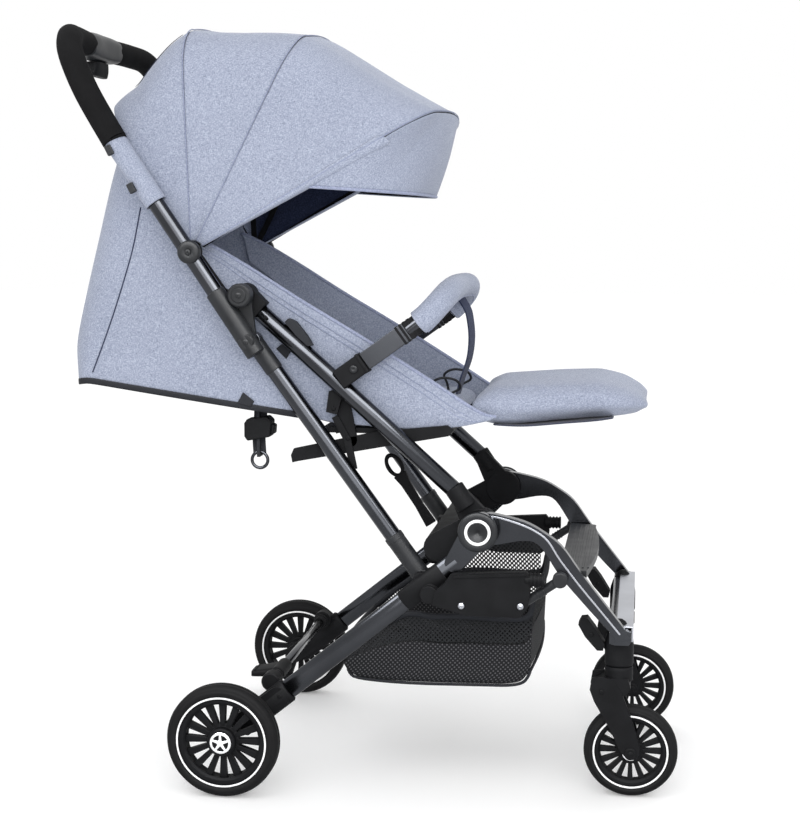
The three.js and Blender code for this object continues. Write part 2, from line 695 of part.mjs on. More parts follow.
function bumperPath(start) {
  return [...start(-1), ...bumperBend(-1), BUMPER_MIDDLE, ...bumperBend(1).reverse(), ...start(1)];
}

const barPath = bumperPath((s) => [shoulder(s, 0.9)]);
const armPlates = SIDES.flatMap(({ s }) => {
  const y = (value) => s * value;
  return [
    plate(armLength(SOCKET_LENGTH + 0.004, 1), y(161.5), y(174.5)),
    armRod(y, 0.06, 0.4, TONGUE_RADIUS),
  ];
});
add('bumper_bar', join(bentRod(barPath, BAR_RADIUS, BUMPER_STEPS), ...armPlates), metalTube);
const padPath = [...bumperBend(-1), BUMPER_MIDDLE, ...bumperBend(1).reverse()];
const pad = cut(bentRod(padPath, PAD_RADIUS, 18), bentRod(barPath, BAR_RADIUS + GAP, BUMPER_STEPS),
  ...SIDES.map(({ s }) => plate(armLength(0.5, 1.004), s * 161, s * 175)));
add('bumper_pad', pad, greyFabric);

// soft basket: an open tub whose rim follows the rear legs down to the back
function basket() {
  const wall = 3;
  const outer = outline([
    [140, 166], [142, 140], [154, 129], [386, 133], [404, 146], [410, 200], [424, 272],
    [404, 268], [398, 236], [302, 232], [284, 228], [232, 234],
  ]);
  const inner = outline([
    [143, 190], [145, 142], [156, 132], [384, 136], [401, 149], [407, 200], [421, 290], [300, 290],
  ]);
  return cut(plate(outer, -146, 146), plate(inner, -146 + wall, 146 - wall));
}

add('basket', basket(), meshFabric);

export default stroller;
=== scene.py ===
import math

import bpy
from mathutils import Matrix, Vector


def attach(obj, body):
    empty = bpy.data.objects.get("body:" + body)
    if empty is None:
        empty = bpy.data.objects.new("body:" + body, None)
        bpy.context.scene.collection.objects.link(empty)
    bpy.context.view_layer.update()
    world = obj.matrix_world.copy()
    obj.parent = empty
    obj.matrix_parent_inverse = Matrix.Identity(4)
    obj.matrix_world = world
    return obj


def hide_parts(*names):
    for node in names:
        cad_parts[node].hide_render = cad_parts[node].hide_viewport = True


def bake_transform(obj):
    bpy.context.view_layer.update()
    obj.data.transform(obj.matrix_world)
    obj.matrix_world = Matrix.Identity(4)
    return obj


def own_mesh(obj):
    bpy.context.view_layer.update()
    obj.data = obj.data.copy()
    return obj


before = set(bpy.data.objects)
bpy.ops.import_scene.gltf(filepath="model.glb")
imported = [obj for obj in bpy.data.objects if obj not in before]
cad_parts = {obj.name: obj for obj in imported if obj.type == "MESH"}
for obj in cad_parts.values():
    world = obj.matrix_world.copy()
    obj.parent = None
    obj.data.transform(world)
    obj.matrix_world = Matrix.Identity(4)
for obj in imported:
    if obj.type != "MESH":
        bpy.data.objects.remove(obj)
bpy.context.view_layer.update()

# Lengths below are millimetres from the rear wheel axis (x), the middle plane (y) and the floor (z).
MIDDLE_X = 175.3
SIDES = (("right", -1), ("left", 1))


def at(x, y, z):
    return Vector(((x - MIDDLE_X) / 1000, y / 1000, z / 1000))


# ---------- camera, light and floor ----------

YAW, PITCH = math.radians(8.99), math.radians(6.98)
camera = bpy.data.objects.new("camera", bpy.data.cameras.new("camera"))
bpy.context.scene.collection.objects.link(camera)
camera.location = at(542, -2158, 749)
look = Vector((-math.sin(YAW) * math.cos(PITCH), math.cos(YAW) * math.cos(PITCH), -math.sin(PITCH)))
camera.rotation_euler = look.to_track_quat("-Z", "Y").to_euler()
camera.data.lens = 66.3
camera.data.sensor_width = 36
camera.data.clip_end = 60
bpy.context.scene.camera = camera
bpy.context.scene.view_settings.view_transform = "Standard"


def light(name, place, target, size, power, only_shine=False):
    lamp = bpy.data.lights.new(name, "AREA")
    lamp.shape = "RECTANGLE"
    lamp.size, lamp.size_y = size
    lamp.energy = power
    holder = bpy.data.objects.new(name, lamp)
    bpy.context.scene.collection.objects.link(holder)
    holder.location = place
    holder.rotation_euler = (Vector(target) - Vector(place)).to_track_quat("-Z", "Y").to_euler()
    holder.visible_diffuse = not only_shine


light("key", (-0.6, -1.8, 2.9), (0, 0, 0.5), (2.4, 1.4), 7)
light("fill", (1.9, -2.2, 1.3), (0, 0, 0.5), (1.2, 1.8), 8)
light("back", (0.2, 2.2, 2.6), (0, 0, 0.5), (2.4, 1.2), 5)
light("front", (0.5, -3.0, 1.2), (0, 0, 0.6), (2.2, 1.8), 46)
light("panel", (0.1, -1.7, 2.3), (0.1, 0, 0.5), (5.0, 1.5), 260, only_shine=True)

world = bpy.data.worlds.new("studio")
bpy.context.scene.world = world
world.use_nodes = True
world.node_tree.nodes["Background"].inputs["Color"].default_value = (1, 1, 1, 1)
world.node_tree.nodes["Background"].inputs["Strength"].default_value = 1.0


# ---------- materials ----------

def new_material(name, colour, roughness, metallic=0.0, coat=0.0, sheen=0.0, specular=0.5):
    mat = bpy.data.materials.new(name)
    mat.use_nodes = True
    shader = mat.node_tree.nodes["Principled BSDF"]
    shader.inputs["Base Color"].default_value = (*colour, 1)
    shader.inputs["Roughness"].default_value = roughness
    shader.inputs["Metallic"].default_value = metallic
    shader.inputs["Coat Weight"].default_value = coat
    shader.inputs["Sheen Weight"].default_value = sheen
    shader.inputs["Specular IOR Level"].default_value = specular
    return mat


def noise(mat, stretch, detail=2.0):
    """Noise over the object's own coordinates, stretched along each axis."""
    nodes, links = mat.node_tree.nodes, mat.node_tree.links
    place = nodes.new("ShaderNodeTexCoord")
    mapping = nodes.new("ShaderNodeMapping")
    mapping.inputs["Scale"].default_value = stretch
    texture = nodes.new("ShaderNodeTexNoise")
    texture.inputs["Scale"].default_value = 1
    texture.inputs["Detail"].default_value = detail
    links.new(place.outputs["Object"], mapping.inputs["Vector"])
    links.new(mapping.outputs["Vector"], texture.inputs["Vector"])
    return texture.outputs["Fac"]


def math_node(mat, operation, a, b, clamp=False):
    node = mat.node_tree.nodes.new("ShaderNodeMath")
    node.operation = operation
    node.use_clamp = clamp
    for socket, value in zip(node.inputs, (a, b)):
        if isinstance(value, (int, float)):
            socket.default_value = value
        else:
            mat.node_tree.links.new(value, socket)
    return node.outputs[0]


def ramp(mat, source, stops):
    node = mat.node_tree.nodes.new("ShaderNodeValToRGB")
    mat.node_tree.links.new(source, node.inputs["Fac"])
    elements = node.color_ramp.elements
    while len(elements) < len(stops):
        elements.new(0.5)
    for element, (position, colour) in zip(elements, stops):
        element.position = position
        element.color = (*colour, 1)
    return node.outputs["Color"]


def bump(mat, source, strength, distance):
    node = mat.node_tree.nodes.new("ShaderNodeBump")
    node.inputs["Strength"].default_value = strength
    node.inputs["Distance"].default_value = distance
    mat.node_tree.links.new(source, node.inputs["Height"])
    shader = mat.node_tree.nodes["Principled BSDF"]
    mat.node_tree.links.new(node.outputs["Normal"], shader.inputs["Normal"])


def paint(mat, socket, source):
    mat.node_tree.links.new(source, mat.node_tree.nodes["Principled BSDF"].inputs[socket])


def melange(name, dark, middle, light_colour):
    """Two-tone plain weave: short flecks along the warp and the weft."""
    mat = new_material(name, middle, 0.92, sheen=0.12, specular=0.2)
    warp = noise(mat, (330, 900, 1900), 2)
    weft = noise(mat, (1900, 1200, 330), 2)
    flecks = math_node(mat, "ADD", math_node(mat, "MULTIPLY", warp, 0.5), math_node(mat, "MULTIPLY", weft, 0.5))
    patch = math_node(mat, "MULTIPLY", noise(mat, (9, 9, 9)), 0.05)
    tone = math_node(mat, "ADD", math_node(mat, "SUBTRACT", flecks, 0.025), patch)
    paint(mat, "Base Color", ramp(mat, tone, [(0.38, dark), (0.49, middle), (0.6, light_colour)]))
    bump(mat, flecks, 0.5, 0.0006)
    return mat


def grained(name, colour, roughness, grain, depth, coat=0.0, specular=0.2):
    """Moulded plastic, foam or rubber: fine grain with a little variation in gloss."""
    mat = new_material(name, colour, roughness, coat=coat, specular=specular)
    fine = noise(mat, (grain, grain, grain), 3)
    broad = noise(mat, (40, 40, 40), 3)
    lighter = [min(1, c * 1.4 + 0.001) for c in colour]
    paint(mat, "Base Color", ramp(mat, broad, [(0.35, colour), (0.7, lighter)]))
    paint(mat, "Roughness", math_node(mat, "ADD", math_node(mat, "MULTIPLY", broad, 0.25), roughness - 0.12))
    bump(mat, fine, 0.35, depth)
    return mat


def polished(name, colour, roughness):
    """Dark plated tube: faint streaks along it and slightly cloudy gloss."""
    mat = new_material(name, colour, roughness, metallic=1.0)
    cloud = noise(mat, (14, 14, 14), 4)
    streak = noise(mat, (600, 600, 600), 2)
    spread = [min(1, c * 1.35) for c in colour]
    paint(mat, "Base Color", ramp(mat, cloud, [(0.3, colour), (0.75, spread)]))
    gloss = math_node(mat, "ADD", math_node(mat, "MULTIPLY", streak, 0.1), roughness - 0.05)
    paint(mat, "Roughness", gloss)
    bump(mat, streak, 0.03, 0.0002)
    return mat


def netting(name, colour, holes):
    """Knitted mesh in slanting rows: real holes, or, without holes, painted highlights: small grey glints painted into
    the colour.
    """
    mat = new_material(name, colour, 0.8, specular=0.2)
    nodes, links = mat.node_tree.nodes, mat.node_tree.links
    place = nodes.new("ShaderNodeTexCoord")
    split = nodes.new("ShaderNodeSeparateXYZ")
    links.new(place.outputs["Object"], split.inputs[0])
    run = math_node(mat, "MULTIPLY", math_node(mat, "ADD", split.outputs["X"], split.outputs["Y"]), 1000)
    rise = math_node(mat, "MULTIPLY", split.outputs["Z"], 1000)
    weave = math_node(mat, "MULTIPLY", math_node(mat, "SINE", run, 0), math_node(mat, "SINE", rise, 0))
    if holes:
        paint(mat, "Alpha", math_node(mat, "LESS_THAN", weave, 0.08))
    else:
        # Painted highlight: grey dots in the dark mesh stand in for small glints of light.
        paint(mat, "Base Color", ramp(mat, weave, [(0.25, colour), (0.75, (0.07, 0.07, 0.075))]))
    bump(mat, weave, 0.4, 0.0005)
    return mat


FABRIC = melange("grey_melange", (0.165, 0.188, 0.255), (0.25, 0.278, 0.36), (0.37, 0.403, 0.497))
LINING = melange("navy_lining", (0.008, 0.011, 0.03), (0.016, 0.023, 0.055), (0.035, 0.045, 0.09))
BINDING = melange("binding", (0.16, 0.18, 0.26), (0.24, 0.27, 0.38), (0.34, 0.37, 0.50))
THREAD = melange("thread", (0.15, 0.17, 0.25), (0.21, 0.24, 0.34), (0.3, 0.33, 0.45))
WEBBING = grained("webbing", (0.008, 0.009, 0.012), 0.75, 900, 0.0005)
TUBE = polished("black_chrome", (0.04, 0.042, 0.047), 0.19)
BRIGHT = polished("bright_metal", (0.33, 0.34, 0.37), 0.3)
CAP = polished("hub_silver", (0.8, 0.81, 0.84), 0.22)
PLASTIC = grained("black_plastic", (0.004, 0.0042, 0.005), 0.6, 1400, 0.00012, specular=0.09)
SATIN = grained("satin_plastic", (0.012, 0.013, 0.015), 0.42, 1400, 0.0001, specular=0.22)
FOAM = grained("foam_grip", (0.006, 0.006, 0.0065), 0.92, 1100, 0.0006, specular=0.05)
RUBBER = grained("tyre_rubber", (0.005, 0.005, 0.0055), 0.7, 900, 0.0003, specular=0.1)
WHITE = grained("white_trim", (0.82, 0.82, 0.83), 0.4, 900, 0.0001, specular=0.5)
# The basket's lower net: its grey dots are painted glints, not holes.
MESH = netting("knit_mesh", (0.004, 0.0045, 0.006), False)
OPEN_MESH = netting("open_mesh", (0.012, 0.013, 0.015), True)
FLOOR = new_material("pale_floor", (0.9, 0.9, 0.9), 0.9, specular=0.1)


def fade_to_white(mat, near, far):
    """Plain floor that turns into the white of the backdrop away from the object."""
    nodes, links = mat.node_tree.nodes, mat.node_tree.links
    place = nodes.new("ShaderNodeTexCoord")
    reach = nodes.new("ShaderNodeVectorMath")
    reach.operation = "LENGTH"
    links.new(place.outputs["Object"], reach.inputs[0])
    part = math_node(mat, "MULTIPLY", math_node(mat, "SUBTRACT", reach.outputs["Value"], near), 1 / (far - near), True)
    paint(mat, "Base Color", ramp(mat, part, [(0, (0.94, 0.94, 0.94)), (1, (0, 0, 0))]))
    paint(mat, "Emission Color", ramp(mat, part, [(0, (0.1, 0.1, 0.1)), (1, (1, 1, 1))]))
    mat.node_tree.nodes["Principled BSDF"].inputs["Emission Strength"].default_value = 1.05


fade_to_white(FLOOR, 0.7, 1.5)


# ---------- geometry ----------

class Piece:
    """Collects surfaces for one named piece."""

    def __init__(self):
        self.verts, self.faces = [], []

    def add(self, verts, faces):
        base = len(self.verts)
        self.verts += [at(*v) for v in verts]
        self.faces += [[base + i for i in face] for face in faces]
        return self

    def grid(self, rows, wrap=False, caps=False):
        """Rows of points joined into quads; wrap closes each row into a ring."""
        width = len(rows[0])
        faces = []
        for r in range(len(rows) - 1):
            for c in range(width if wrap else width - 1):
                d = (c + 1) % width
                faces.append((r * width + c, r * width + d, (r + 1) * width + d, (r + 1) * width + c))
        if caps:
            faces.append(tuple(reversed(range(width))))
            faces.append(tuple(range((len(rows) - 1) * width, len(rows) * width)))
        return self.add([p for row in rows for p in row], faces)

    def tube(self, path, radius, sides=28, flat=1.0, chamfer=1.2):
        """A round or oval section along a path, with softened ends; flat narrows it across the width."""
        points = [Vector(p) for p in path]
        side = Vector((0, 1, 0)) if abs((points[1] - points[0]).normalized().y) < 0.9 else Vector((1, 0, 0))
        rows = []
        for i, point in enumerate(points):
            ahead = (points[min(i + 1, len(points) - 1)] - points[max(i - 1, 0)]).normalized()
            side = (side - ahead * side.dot(ahead)).normalized()
            up = ahead.cross(side)
            steps = [(0, radius)]
            if i == 0:
                steps = [(0, radius - chamfer), (chamfer, radius)]
            elif i == len(points) - 1:
                steps = [(-chamfer, radius), (0, radius - chamfer)]
            for shift, r in steps:
                ring = []
                for k in range(sides):
                    a = 2 * math.pi * k / sides
                    ring.append(point + ahead * shift + side * (math.cos(a) * r * flat) + up * (math.sin(a) * r))
                rows.append(ring)
        return self.grid(rows, wrap=True, caps=True)

    def lathe(self, centre, profile, sides=48, closed=True):
        """A closed (radius, y) profile turned about a line along Y."""
        cx, cy, cz = centre
        rows = []
        for k in range(sides + 1):
            a = 2 * math.pi * k / sides
            rows.append([(cx + r * math.cos(a), cy + y, cz + r * math.sin(a)) for r, y in profile])
        ring = rows[:-1]
        width = len(profile)
        faces = []
        for r in range(sides):
            s = (r + 1) % sides
            for c in range(width if closed else width - 1):
                d = (c + 1) % width
                faces.append((r * width + c, s * width + c, s * width + d, r * width + d))
        return self.add([p for row in ring for p in row], faces)

    def disc(self, x, z, radius, y0, y1, sides=40, edge=1.0):
        """A button-shaped boss with softened edges."""
        lo, hi = sorted((y0, y1))
        e = min(edge, radius / 2, (hi - lo) / 2)
        profile = [(0.01, lo), (radius - e, lo), (radius, lo + e), (radius, hi - e), (radius - e, hi), (0.01, hi)]
        return self.lathe((x, 0, z), profile, sides)

    def plate(self, outline, y0, y1):
        """A side-view outline given depth across the width."""
        lo, hi = sorted((y0, y1))
        n = len(outline)
        area = sum(a[0] * b[1] - b[0] * a[1] for a, b in zip(outline, outline[1:] + outline[:1]))
        if area < 0:
            outline = outline[::-1]
        verts = [(x, lo, z) for x, z in outline] + [(x, hi, z) for x, z in outline]
        faces = [tuple(range(n)), tuple(reversed(range(n, 2 * n)))]
        faces += [(i, i + n, (i + 1) % n + n, (i + 1) % n) for i in range(n)]
        return self.add(verts, faces)

    def screw(self, x, z, y, outward, radius=3.4):
        """A domed screw head with a cross recess."""
        h = outward * 1.6
        self.lathe((x, y, z), [(0.01, 0), (radius, 0), (radius, h * 0.5), (radius * 0.7, h), (0.01, h * 1.05)], 20)
        for a in (0.6, 0.6 + math.pi / 2):
            c, s = math.cos(a) * radius * 0.62, math.sin(a) * radius * 0.62
            w, v = -s * 0.22, c * 0.22
            self.plate([(x - c - w, z - s - v), (x + c - w, z + s - v), (x + c + w, z + s + v), (x - c + w, z - s + v)],
                       y + h * 0.9, y + h * 1.15)
        return self

    def make(self, name, mat, body, replaces=(), slot=None, bevel=0, thick=0, smooth=2, offset=0.0):
        mesh = bpy.data.meshes.new(name)
        mesh.from_pydata(self.verts, [], self.faces)
        mesh.materials.append(mat)
        mesh.validate()
        mesh.shade_smooth()
        obj = bpy.data.objects.new(name, mesh)
        bpy.context.scene.collection.objects.link(obj)
        if bevel:
            mod = obj.modifiers.new("edges", "BEVEL")
            mod.width = bevel / 1000
            mod.segments = 3
            mod.limit_method = "ANGLE"
            mod.angle_limit = math.radians(38)
            mod.harden_normals = True
        if thick:
            mod = obj.modifiers.new("cloth", "SOLIDIFY")
            mod.thickness = thick / 1000
            mod.offset = offset
            if smooth:
                mod = obj.modifiers.new("smooth", "SUBSURF")
                mod.levels = mod.render_levels = 1
        if body:
            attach(obj, body)
        if replaces:
            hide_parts(*replaces)
        return obj


def mix(a, b, t):
    return [p + (q - p) * t for p, q in zip(a, b)]


def curve(points, count):
    """Catmull-Rom curve through points of any dimension."""
    pts = [points[0]] + list(points) + [points[-1]]
    out = []
    spans = len(points) - 1
    for i in range(count + 1):
        s = min(i / count * spans, spans - 1e-9)
        k = int(s)
        t = s - k
        p0, p1, p2, p3 = pts[k:k + 4]
        out.append([0.5 * (2 * b + (c - a) * t + (2 * a - 5 * b + 4 * c - d) * t * t + (3 * b - a - 3 * c + d) * t ** 3)
                    for a, b, c, d in zip(p0, p1, p2, p3)])
    return out


def look_up(table, x):
    """Straight-line look-up in a list of (x, value)."""
    for (x0, v0), (x1, v1) in zip(table, table[1:]):
        if x <= x1:
            return v0 + (v1 - v0) * (x - x0) / (x1 - x0)
    return table[-1][1]


def bar(a, b, ra, rb=None, steps=12):
    """Outline of a straight bar with round ends."""
    rb = ra if rb is None else rb
    angle = math.atan2(b[1] - a[1], b[0] - a[0])
    out = []
    for centre, radius, start in ((b, rb, angle - math.pi / 2), (a, ra, angle + math.pi / 2)):
        for k in range(steps + 1):
            t = start + math.pi * k / steps
            out.append((centre[0] + radius * math.cos(t), centre[1] + radius * math.sin(t)))
    return out


def band(line, half):
    """Outline of constant width about a side-view line."""
    up, down = [], []
    for i, (x, z) in enumerate(line):
        x0, z0 = line[max(i - 1, 0)]
        x1, z1 = line[min(i + 1, len(line) - 1)]
        length = math.hypot(x1 - x0, z1 - z0)
        nx, nz = -(z1 - z0) / length, (x1 - x0) / length
        h = half[i] if isinstance(half, list) else half
        up.append((x + nx * h, z + nz * h))
        down.append((x - nx * h, z - nz * h))
    return up + down[::-1]


def line3(a, b, y, t0=0.0, t1=1.0):
    return [(p[0], y, p[1]) for p in (mix(a, b, t0), mix(a, b, t1))]


# ---------- pivots ----------

FOLD, LINK_TOP, HUB, LINK_FOOT = (20, 664), (29, 603), (334, 359), (258, 289)
BRACE_REAR, KNEE, BRACE_FRONT = (271, 275), (389, 262), (441, 298)
CANOPY = (-51, 720)
REAR_CENTRE, FRONT_CENTRE = (0, 76), (535, 62)
TUBE_TOP, TUBE_FOOT = (42, 638), (303, 405)
LEG_LOW, LEG_HIGH = (0, 71), (326, 335)
HANDLE_FOOT, HANDLE_BEND = (31, 600), (-150, 869)


# ---------- wheels ----------

def wheel(name, side, s, centre, y, size):
    radius, half, ring, inner, hub, count = size
    x, z = centre
    tyre = Piece()
    profile = [(ring - 1, -half + 4), (ring + 2, -half + 1), (ring + 5, -half)]
    profile += [(radius - 7, -half + 0.4), (radius - 6, -half + 1.6), (radius - 4.6, -half + 1.2)]
    profile += [(radius - 1.6, -half + 4.5), (radius, -half + 9), (radius, -1.5), (radius - 1, -0.6)]
    profile += [(r, -t) for r, t in reversed(profile)]
    tyre.lathe((x, s * y, z), profile, 96)
    tyre.make(f"{name}_tyre_{side}_rubber", RUBBER, f"{name}_wheel_{side}", [f"{name}_tyre_{side}"], "tyre")

    rim = Piece()
    h = half - 4
    rim.lathe((x, s * y, z), [(inner, -h + 3), (inner + 3, -h), (ring - 1.4, -h), (ring - 1.2, h),
                              (inner + 3, h), (inner, h - 3), (inner + 2, 0)], 96)
    rim.lathe((x, s * y, z), [(4, -half), (hub - 2, -half), (hub, -half + 2), (hub, half - 2), (hub - 2, half), (4, half)], 48)
    rim.lathe((x, s * y, z), [(hub - 1, -5), (hub + 4, -3.4), (hub + 4, 3.4), (hub - 1, 5)], 48)
    for k in range(count):
        a = 2 * math.pi * k / count
        c, d = math.cos(a), math.sin(a)
        w0, w1 = size[4] * 0.16, size[4] * 0.26
        corners = [(hub - 1, -w0), (inner + 3, -w1), (inner + 3, w1), (hub - 1, w0)]
        rim.plate([(x + r * c - w * d, z + r * d + w * c) for r, w in corners], s * y - 4.5, s * y + 4.5)
    rim.make(f"{name}_rim_{side}_moulding", PLASTIC, f"{name}_wheel_{side}", [f"{name}_rim_{side}"], "black_plastic", bevel=0.7)

    trim = Piece()
    for face in (-1, 1):
        f = s * y + face * (half - 1.6)
        trim.lathe((x, f, z), [(ring - 2.0, -0.7), (ring - 0.2, -0.9), (ring + 0.4, 0), (ring - 0.2, 0.9), (ring - 2.0, 0.7)], 96)
    trim.make(f"{name}_rim_ring_{side}", WHITE, f"{name}_wheel_{side}", slot="bright_metal")

    cap = Piece()
    out = s * (y + half)
    r = hub * 0.76
    cap.lathe((x, out, z), [(0.01, s * 2.4), (r * 0.3, s * 2.3), (r * 0.3, 0), (0.01, 0)], 32)
    cap.lathe((x, out, z), [(r * 0.76, 0), (r, 0), (r, s * 1.2), (r * 0.92, s * 2.0), (r * 0.76, s * 2.2)], 48)
    for k in range(5):
        a = 2 * math.pi * (k + 0.25) / 5
        c, d = math.cos(a), math.sin(a)
        cap.plate([(x + u * c - v * d, z + u * d + v * c) for u, v in
                   [(r * 0.2, -r * 0.15), (r * 0.82, -r * 0.09), (r * 0.82, r * 0.09), (r * 0.2, r * 0.15)]], out, out + s * 2.2)
    cap.make(f"{name}_hub_cap_{side}", CAP, f"{name}_wheel_{side}", slot="bright_metal", bevel=0.3)


for side, s in SIDES:
    wheel("rear", side, s, REAR_CENTRE, 235, (76, 15, 61, 50, 19, 16))
    wheel("front", side, s, FRONT_CENTRE, 150, (62, 13, 49.5, 40, 14.5, 16))


# ---------- side frame ----------

for side, s in SIDES:
    tube = Piece().tube(line3(TUBE_TOP, TUBE_FOOT, s * 165, -0.02), 11.5, 40)
    tube.make(f"side_tube_{side}_plated", TUBE, "frame", [f"side_tube_{side}"], "gunmetal_tube")

    top = Piece()
    top.disc(*FOLD, 15, s * 155, s * 177)
    top.plate([(4, 650), (1, 668), (10, 676), (26, 675), (36, 667), (50, 653), (34, 634), (16, 640)], s * 158, s * 177)
    top.plate(band([(16, 661), (2, 662), (-10, 664)], 8), s * 170.2, s * 175)
    top.plate(bar((-10, 664), CANOPY, 8, 9), s * 170.2, s * 175)
    top.disc(*CANOPY, 14, s * 169.5, s * 178.4, edge=2)
    top.screw(49, 634, s * 177, s, 3)
    top.make(f"top_block_{side}_moulding", PLASTIC, "frame", [f"top_block_{side}"], "black_plastic", bevel=1)

    clip = Piece()
    clip.disc(-46, 720, 15, s * 197, s * 209, 48, edge=2.4)
    clip.screw(-46, 720, s * 209, s, 4)
    clip.make(f"canopy_clip_{side}", SATIN, "handle", slot="black_plastic")

    trims = Piece()
    trims.plate([(73, 628), (78, 633), (88, 629), (104, 609), (111, 597), (104, 596), (88, 610)], s * 160, s * 171)
    trims.plate([(56, 591), (66, 599), (77, 588), (70, 577)], s * 148, s * 150)
    trims.plate([(3, 517), (11.5, 532), (26.6, 520), (22, 513)], s * 153, s * 156)
    trims.make(f"seat_tab_{side}", WEBBING, "frame", slot="black_plastic", bevel=0.8)

    hub = Piece()
    hub.disc(*HUB, 26.5, s * 153.2, s * 167, 56, edge=2)
    hub.plate(bar(HUB, (278, 330), 22, 20), s * 154, s * 164)
    hub.plate(bar(HUB, TUBE_FOOT, 22, 11), s * 153.6, s * 166.6)
    hub.tube(line3(mix(TUBE_FOOT, HUB, -0.16), mix(TUBE_FOOT, HUB, 0.42), s * 165), 13.4, 36)
    hub.make(f"hub_block_{side}_moulding", PLASTIC, "frame", [f"hub_block_{side}"], "black_plastic", bevel=1.2)

    collar = Piece()
    collar.lathe((HUB[0], 0, HUB[1]), [(0.01, s * 195.6), (20, s * 195.6), (25.5, s * 196.4), (26.4, s * 198), (25, s * 200.4),
                                       (20, s * 201.4), (18.4, s * 200.8), (0.01, s * 200.6)], 64)
    collar.make(f"hub_cover_{side}", SATIN, "frame", slot="black_plastic")
    ring = Piece()
    ring.lathe((HUB[0], s * 201.0, HUB[1]), [(13.4, -0.8), (17.2, -0.8), (17.2, 0.5), (16.6, 1.0), (14, 1.0), (13.4, 0.5)], 64)
    ring.make(f"hub_ring_{side}", WHITE, "frame", slot="bright_metal")

member = Piece()
member.plate([(258, 316), (264, 306), (292, 304), (302, 312), (300, 340), (292, 347), (266, 346), (259, 338)], -153.6, 153.6)
member.plate([(256, 322), (268, 322), (268, 342), (256, 342)], -12, 12)
member.make("cross_member_moulding", PLASTIC, "frame", ["cross_member"], "black_plastic", bevel=2.5)

rails = Piece()
for side, s in SIDES:
    rails.plate([(78, 438), (86, 440), (208, 463), (290, 478), (296, 486), (288, 492), (192, 482), (80, 457), (76, 448)],
                s * 146, s * 153)
    rails.plate(bar((144, 530), (158, 470), 11, 9), s * 147.5, s * 153)
    rails.plate([(141, 504), (158.5, 473), (167, 432), (158, 430), (149, 470), (133, 500)], s * 151, s * 156)
    rails.plate([(126, 508), (130, 536), (138, 538), (148, 529), (141, 505)], s * 152, s * 160)
    rails.screw(136.5, 513, s * 160, s, 3)
    rails.screw(155, 473, s * 156, s, 3)
rails.plate([(118, 479), (292, 479), (292, 486), (118, 486)], -147, 147)
rails.make("seat_frame_moulding", PLASTIC, "frame", ["seat_frame"], "black_plastic", bevel=1)

lever = Piece()
LEVER_FOOT, LEVER_TOP = (246, 330), (186, 424)
lever.plate(band([mix(LEVER_FOOT, LEVER_TOP, t) for t in (0, 0.3, 0.62, 0.76)], [8, 6, 7, 10]), -3.5, 3.5)
hole = mix(LEVER_FOOT, LEVER_TOP, 0.89)
spin = math.radians(122.5)
loop = []
for k in range(36):
    a = 2 * math.pi * k / 36
    u, v = 16 * math.cos(a), 9.5 * math.sin(a)
    loop.append((hole[0] + u * math.cos(spin) - v * math.sin(spin), 0, hole[1] + u * math.sin(spin) + v * math.cos(spin)))
loop_rows = []
for k, p in enumerate(loop):
    out = (Vector(p) - Vector((hole[0], 0, hole[1]))).normalized() * 3.2
    loop_rows.append([Vector(p) + out * math.cos(b) + Vector((0, 3.5 * math.sin(b), 0)) for b in [2 * math.pi * j / 10 for j in range(10)]])
lever.grid(loop_rows + [loop_rows[0]], wrap=True)
lever.make("pull_lever_moulding", PLASTIC, "lever", ["pull_lever"], "black_plastic", bevel=1)


# ---------- handle ----------

def handle_path(start, count=64):
    arm = lambda s: [(start[0], s * 193, start[1]), (*[(start[0] + HANDLE_BEND[0]) / 2], s * 193, (start[1] + HANDLE_BEND[1]) / 2),
                     (-150, s * 193, 869), (-184, s * 193, 928), (-206, s * 187, 976), (-218, s * 160, 1001), (-229, s * 112, 1007)]
    return curve(arm(-1) + [(-238, 0, 1007)] + arm(1)[::-1], count)


FLAP_RADIUS = 14.4


def sleeve_rings(start, end, across, radius, count=32):
    """Rings of cloth wrapped round a straight tube, from start to end in x and z."""
    a, b = (Vector((p[0], across, p[1])) for p in (start, end))
    ahead = (b - a).normalized()
    side = Vector((0, 1, 0))
    up = ahead.cross(side)
    turns = [2 * math.pi * k / count for k in range(count)]
    return [[a.lerp(b, i / 8) + (side * math.cos(t) + up * math.sin(t)) * radius for t in turns] for i in range(9)]


tube = Piece().tube(handle_path(HANDLE_FOOT), 11, 36)
tube.make("handle_tube_plated", TUBE, "handle", ["handle_tube"], "gunmetal_tube")
grip_start = mix(HANDLE_FOOT, HANDLE_BEND, 0.985)
grip = Piece().tube(handle_path(grip_start, 80), 16.8, 40, chamfer=2.5)
grip.make("handle_grip_foam", FOAM, "handle", ["handle_grip"], "foam")
for side, s in SIDES:
    flap = Piece().grid(sleeve_rings((-148, 866), (-92, 783), s * 193, FLAP_RADIUS), wrap=True)
    flap_obj = flap.make(f"canopy_flap_{side}", FABRIC, "handle", slot="grey_fabric", thick=1.2)
    snaps = Piece()
    for x, z in ((-150, 852), (-121, 803)):
        snaps.plate([(x - 7, z + 4), (x + 1, z + 8), (x + 7, z - 4), (x - 1, z - 8)], s * 203, s * 210)
    snaps_obj = snaps.make(f"canopy_snaps_{side}", SATIN, "handle", slot="black_plastic", bevel=1)

